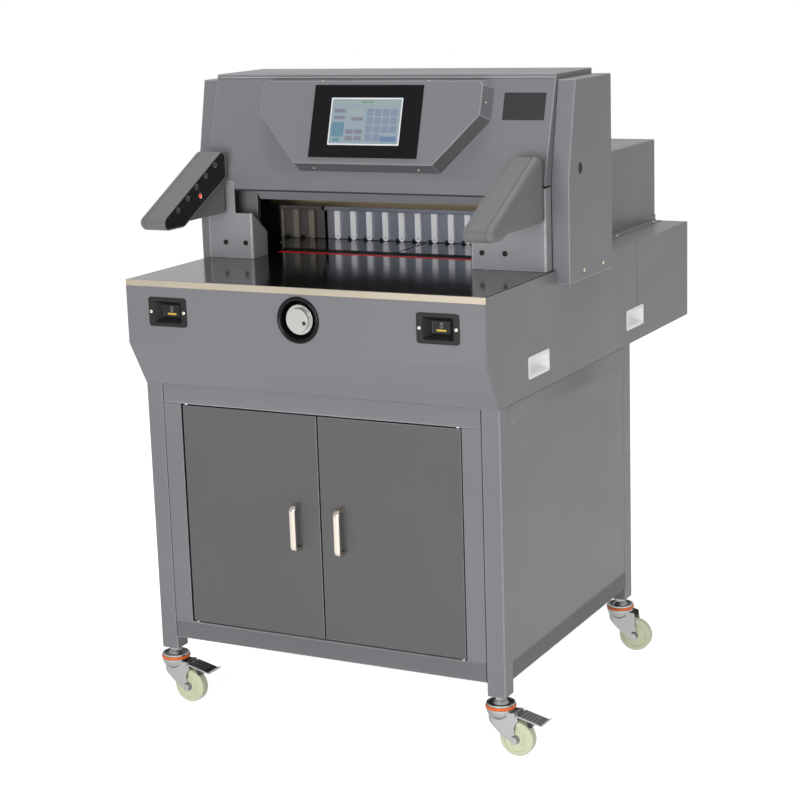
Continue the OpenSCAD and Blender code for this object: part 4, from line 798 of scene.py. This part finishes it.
def makeArms(a):
    shell, panel = bmesh.new(), bmesh.new()
    x0, round0 = a["crown"]
    run = a["bodyRun"] + [(x0 + round0 * math.sin(q), round0 * (1 - math.cos(q)))
                          for q in (math.radians(90 * k / 10) for k in range(11))]
    for side in (1, -1):
        at = Matrix(((0, 0, side, 0), (1, 0, 0, 0), (0, 1, 0, 0), (0, 0, 0, 1)))
        loft(shell, at, [softOutline(a["body"], inset, x) for x, inset in run], 0)
        loft(shell, at, [softOutline(a["band"], inset, x) for x, inset in a["bandRun"]], 0)
        d = a["pad"]
        plate(shell, facing((side * d["x"], d["y"], d["z"]), (0, 1, 0)), d["wide"], d["high"], d["corner"],
              d["thick"], d["ease"])
        # the holes are lined dark: painted shade
        for y, z in a["holes"]:
            lathe(shell, facing((side * a["outerFace"], y, z), (side, 0, 0)), a["hole"], 1, 24)
        loft(panel, at, [softOutline(a["band"], inset, x) for x, inset in a["panelRun"]], 0)
        for y, z in a["lenses"]:
            spot = facing((side * a["innerFace"], y, z), (-side, 0, 0))
            lathe(panel, spot, a["lensRim"], 1, 32, loop=True)
            lathe(panel, spot, a["lens"], 2, 32)
        spot = facing((side * a["innerFace"], *a["lamp"]), (-side, 0, 0))
        lathe(panel, spot, a["lampRim"], 3, 32, loop=True)
        lathe(panel, spot, a["bulb"], 4, 32)
    newPiece("sensorArms", shell, [finishes["arm_grey"], extras["recessShade"]], "frame",
             ("sensor_arms",), 40)
    newPiece("armPanels", panel, [finishes["black_plastic"], extras["markGrey"], extras["lensDark"],
                                  extras["brightScrew"], extras["lensRed"]], "frame",
             ("arm_panels",), 40)


makeArms(arms)
print("grips and arms made")

# small pieces: a painted shadow strip behind the cutting stick, gauge blocks, column plugs, guard feet
shadeStrip = {"place": (-0.0275, 0.0525, 0.931), "wide": 0.516, "deep": 0.041, "corner": 0.001,
             "thick": 0.0003, "ease": 0.0001}
bm = bmesh.new()
at = facing(shadeStrip["place"], (0, 0, 1), (0, 1, 0))
plate(bm, at, *(shadeStrip[k] for k in ("wide", "deep", "corner", "thick", "ease")))
newPiece("shadeStrip", bm, [extras["rubber"]], "frame")

gaugeBlocks = {"first": -0.0275 - 4.5 * 0.041 - 0.0125, "pitch": 0.041, "count": 11, "y": 0.229, "z": 0.9345,
               "wide": 0.0112, "high": 0.0055, "corner": 0.0012, "thick": 0.0026, "ease": 0.0005}
bm = bmesh.new()
for k in range(gaugeBlocks["count"]):
    x = gaugeBlocks["first"] + k * gaugeBlocks["pitch"]
    spot = facing((x, gaugeBlocks["y"], gaugeBlocks["z"]), (0, -1, 0))
    plate(bm, spot, *(gaugeBlocks[k] for k in ("wide", "high", "corner", "thick", "ease")))
newPiece("gaugeBlocks", bm, [extras["rubber"]], "backgauge")

columnPlugs = {"spot": (0.435, -0.002, 1.131),
               "profile": [(0.0119, -0.0025), (0.0119, -0.0009), (0.0114, -0.0005), (0.0106, -0.0007),
                           (0.0098, -0.0018), (0.004, -0.0021)]}
bm = bmesh.new()
for side in (1, -1):
    x, y, z = columnPlugs["spot"]
    lathe(bm, facing((side * x, y, z), (side, 0, 0)), columnPlugs["profile"], 0, 48)
newPiece("columnPlugs", bm, [extras["rubber"]], "frame", (), 50)

guardFeet = {"x": 0.326, "y0": 0.176, "y1": 0.729, "low": 0.9265, "wide": 0.016, "high": 0.016, "t": 0.0016,
             "bend": 0.0018, "screws": (0.215, 0.45, 0.69), "screwOut": 0.0105, "head": (0.0032, 0.0015)}


def makeFeet(g):
    bm = bmesh.new()
    x, z, t, bend = g["x"], g["low"], g["t"], g["bend"]
    outline = [(x, z, 2e-4), (x + g["wide"], z, 2e-4), (x + g["wide"], z + t, 5e-4),
               (x + bend + t, z + t, 0.0012), (x + t, z + t + bend, 0.0012), (x + t, z + g["high"], 5e-4),
               (x, z + g["high"], 2e-4)]
    for side in (1, -1):
        at = Matrix(((side, 0, 0, 0), (0, 0, 1, 0), (0, 1, 0, 0), (0, 0, 0, 1)))
        loft(bm, at, [softOutline(outline, 0, y, 3) for y in (g["y0"], g["y1"])], 0)
        for y in g["screws"]:
            spot = facing((side * (x + g["screwOut"]), y, z + t), (0, 0, 1), (0, 1, 0))
            screwHead(bm, spot, *g["head"], crossShape, 1, 2)
    newPiece("guardFeet", bm, [finishes["body_grey"], extras["brightScrew"], extras["recessShade"]], "frame")


makeFeet(guardFeet)

# end of the head's lip, beside the right arm
lipEnd = {"x": (0.2453, 0.268),
          "line": [(-0.0917, 1.079), (-0.076, 1.059), (-0.0735, 1.059), (-0.0893, 1.0794)]}
bm = bmesh.new()
corners = [(y, z, 4e-4) for y, z in lipEnd["line"]]
at = Matrix(((0, 0, 1, 0), (1, 0, 0, 0), (0, 1, 0, 0), (0, 0, 0, 1)))
loft(bm, at, [softOutline(corners, 0, x, 3) for x in lipEnd["x"]])
newPiece("lipEnd", bm, [finishes["body_grey"]], "frame")

# open seam lines beside the stand's legs and down the housing's sides; under the head's lid edge a pale strip
# that is a painted highlight, beside a dark line; under its band a dark strip over the fold, painted shade
seamsAndPaintedLight = {"leg": {"x": 0.365, "y": -0.3494, "runs": [(0.150, 0.702)], "wide": 0.0020, "thick": 0.0006},
         "side": {"x": 0.405, "y": 0.395, "runs": [(0.707, 0.7355), (0.7805, 0.928)], "wide": 0.0011,
                  "thick": 0.00015},
         "lid": {"s": 0.2062, "half": 0.392, "pale": 0.0016, "dark": 0.0012, "thick": 0.0004},
         "band": {"y": -0.0917, "z": 1.0793, "half": 0.390, "high": 0.0038, "thick": 0.0002, "deep": 0.0018},
         "sunk": 0.0004, "corner": 0.0003, "ease": 0.0001}


def makeSeamsAndPaintedLight(d):
    bm = bmesh.new()
    sunk, corner, ease = d["sunk"], d["corner"], d["ease"]
    for side in (1, -1):
        for kind, out in (("leg", (0, -1, 0)), ("side", (side, 0, 0))):
            k = d[kind]
            for low, high in k["runs"]:
                spot = facing((side * k["x"], k["y"], (low + high) / 2), out)
                plate(bm, spot @ Matrix.Translation((0, 0, -sunk)), k["wide"], high - low, corner,
                      sunk + k["thick"], ease)
    # lid edge: a painted highlight strip with a dark line beside it
    k = d["lid"]
    for offset, wide, finish in ((0.0, k["pale"], 1), (-(k["pale"] + k["dark"]) / 2, k["dark"], 0)):
        spot = slopeFrame @ Matrix.Translation((0, k["s"] + offset, -sunk))
        plate(bm, spot, 2 * k["half"], wide, corner, sunk + k["thick"], ease, finish)
    # band: a dark strip over the fold, painted shade
    k = d["band"]
    spot = facing((0, k["y"], k["z"]), (0, -1, 0)) @ Matrix.Translation((0, 0, -k["deep"]))
    plate(bm, spot, 2 * k["half"], k["high"], corner, k["deep"] + k["thick"], ease)
    newPiece("openSeamsAndPaintedLight", bm, [extras["seamAndShadeDark"], extras["seamHighlight"]], "frame")


makeSeamsAndPaintedLight(seamsAndPaintedLight)
print("small pieces made")

# floor and light
studio = {"world": 0.14, "floor": 0.75, "lift": 0.90, "mirrored": 0.66, "aim": (0, 0, 0.9),
          "ground": {"size": 40, "corner": 2, "thick": 0.02, "rough": 0.9},
          "lamps": [("frontSoft", (0.5, -5.0, 1.15), 2.4, 155), ("topSoft", (0.2, 0.1, 6.0), 3.0, 165),
                    ("rightFill", (5.0, -1.2, 1.2), 2.2, 45)]}


def seenWhite(tree, mirrored=1.0):
    # 1 for what the camera sees directly, and a share of it in a reflection
    seen = addNode(tree, "ShaderNodeLightPath").outputs
    glossy = multiply(tree, seen["Is Glossy Ray"], mirrored)
    eye = addNode(tree, "ShaderNodeMath", {0: seen["Is Camera Ray"], 1: glossy}, operation="MAXIMUM")
    return addNode(tree, "ShaderNodeMath", {0: eye.outputs[0], 1: seen["Is Transmission Ray"]},
                   operation="MAXIMUM").outputs[0]


def makeStudio(s):
    bm = bmesh.new()
    g = s["ground"]
    loft(bm, Matrix(), [roundRect(g["size"], g["size"], g["corner"], z) for z in (-g["thick"], 0)])
    mesh = bpy.data.meshes.new("studioFloor")
    bm.to_mesh(mesh)
    bm.free()
    ground = bpy.data.objects.new("studioFloor", mesh)
    scene.collection.objects.link(ground)
    mat = bpy.data.materials.new("paleFloor")
    mat.use_nodes = True
    tree = mat.node_tree
    shader = tree.nodes["Principled BSDF"]
    shader.inputs["Base Color"].default_value = (s["floor"], s["floor"], s["floor"], 1)
    shader.inputs["Roughness"].default_value = g["rough"]
    shader.inputs["Specular IOR Level"].default_value = 0
    shader.inputs["Emission Strength"].default_value = s["lift"]
    tree.links.new(seenWhite(tree), shader.inputs["Emission Color"])
    mesh.materials.append(mat)
    world = bpy.data.worlds.new("studioWorld")
    scene.world = world
    world.use_nodes = True
    tree = world.node_tree
    back = tree.nodes["Background"]
    level = addNode(tree, "ShaderNodeMapRange", {"Value": seenWhite(tree, s["mirrored"]),
                                                 "To Min": s["world"], "To Max": 1.0})
    back.inputs["Color"].default_value = (1, 1, 1, 1)
    tree.links.new(level.outputs["Result"], back.inputs["Strength"])
    for name, place, size, watts in s["lamps"]:
        data = bpy.data.lights.new(name, "AREA")
        data.size = size
        data.energy = watts
        lamp = bpy.data.objects.new(name, data)
        lamp.location = place
        lamp.rotation_euler = (Vector(s["aim"]) - Vector(place)).to_track_quat("-Z", "Y").to_euler()
        scene.collection.objects.link(lamp)


makeStudio(studio)
print("studio lit")
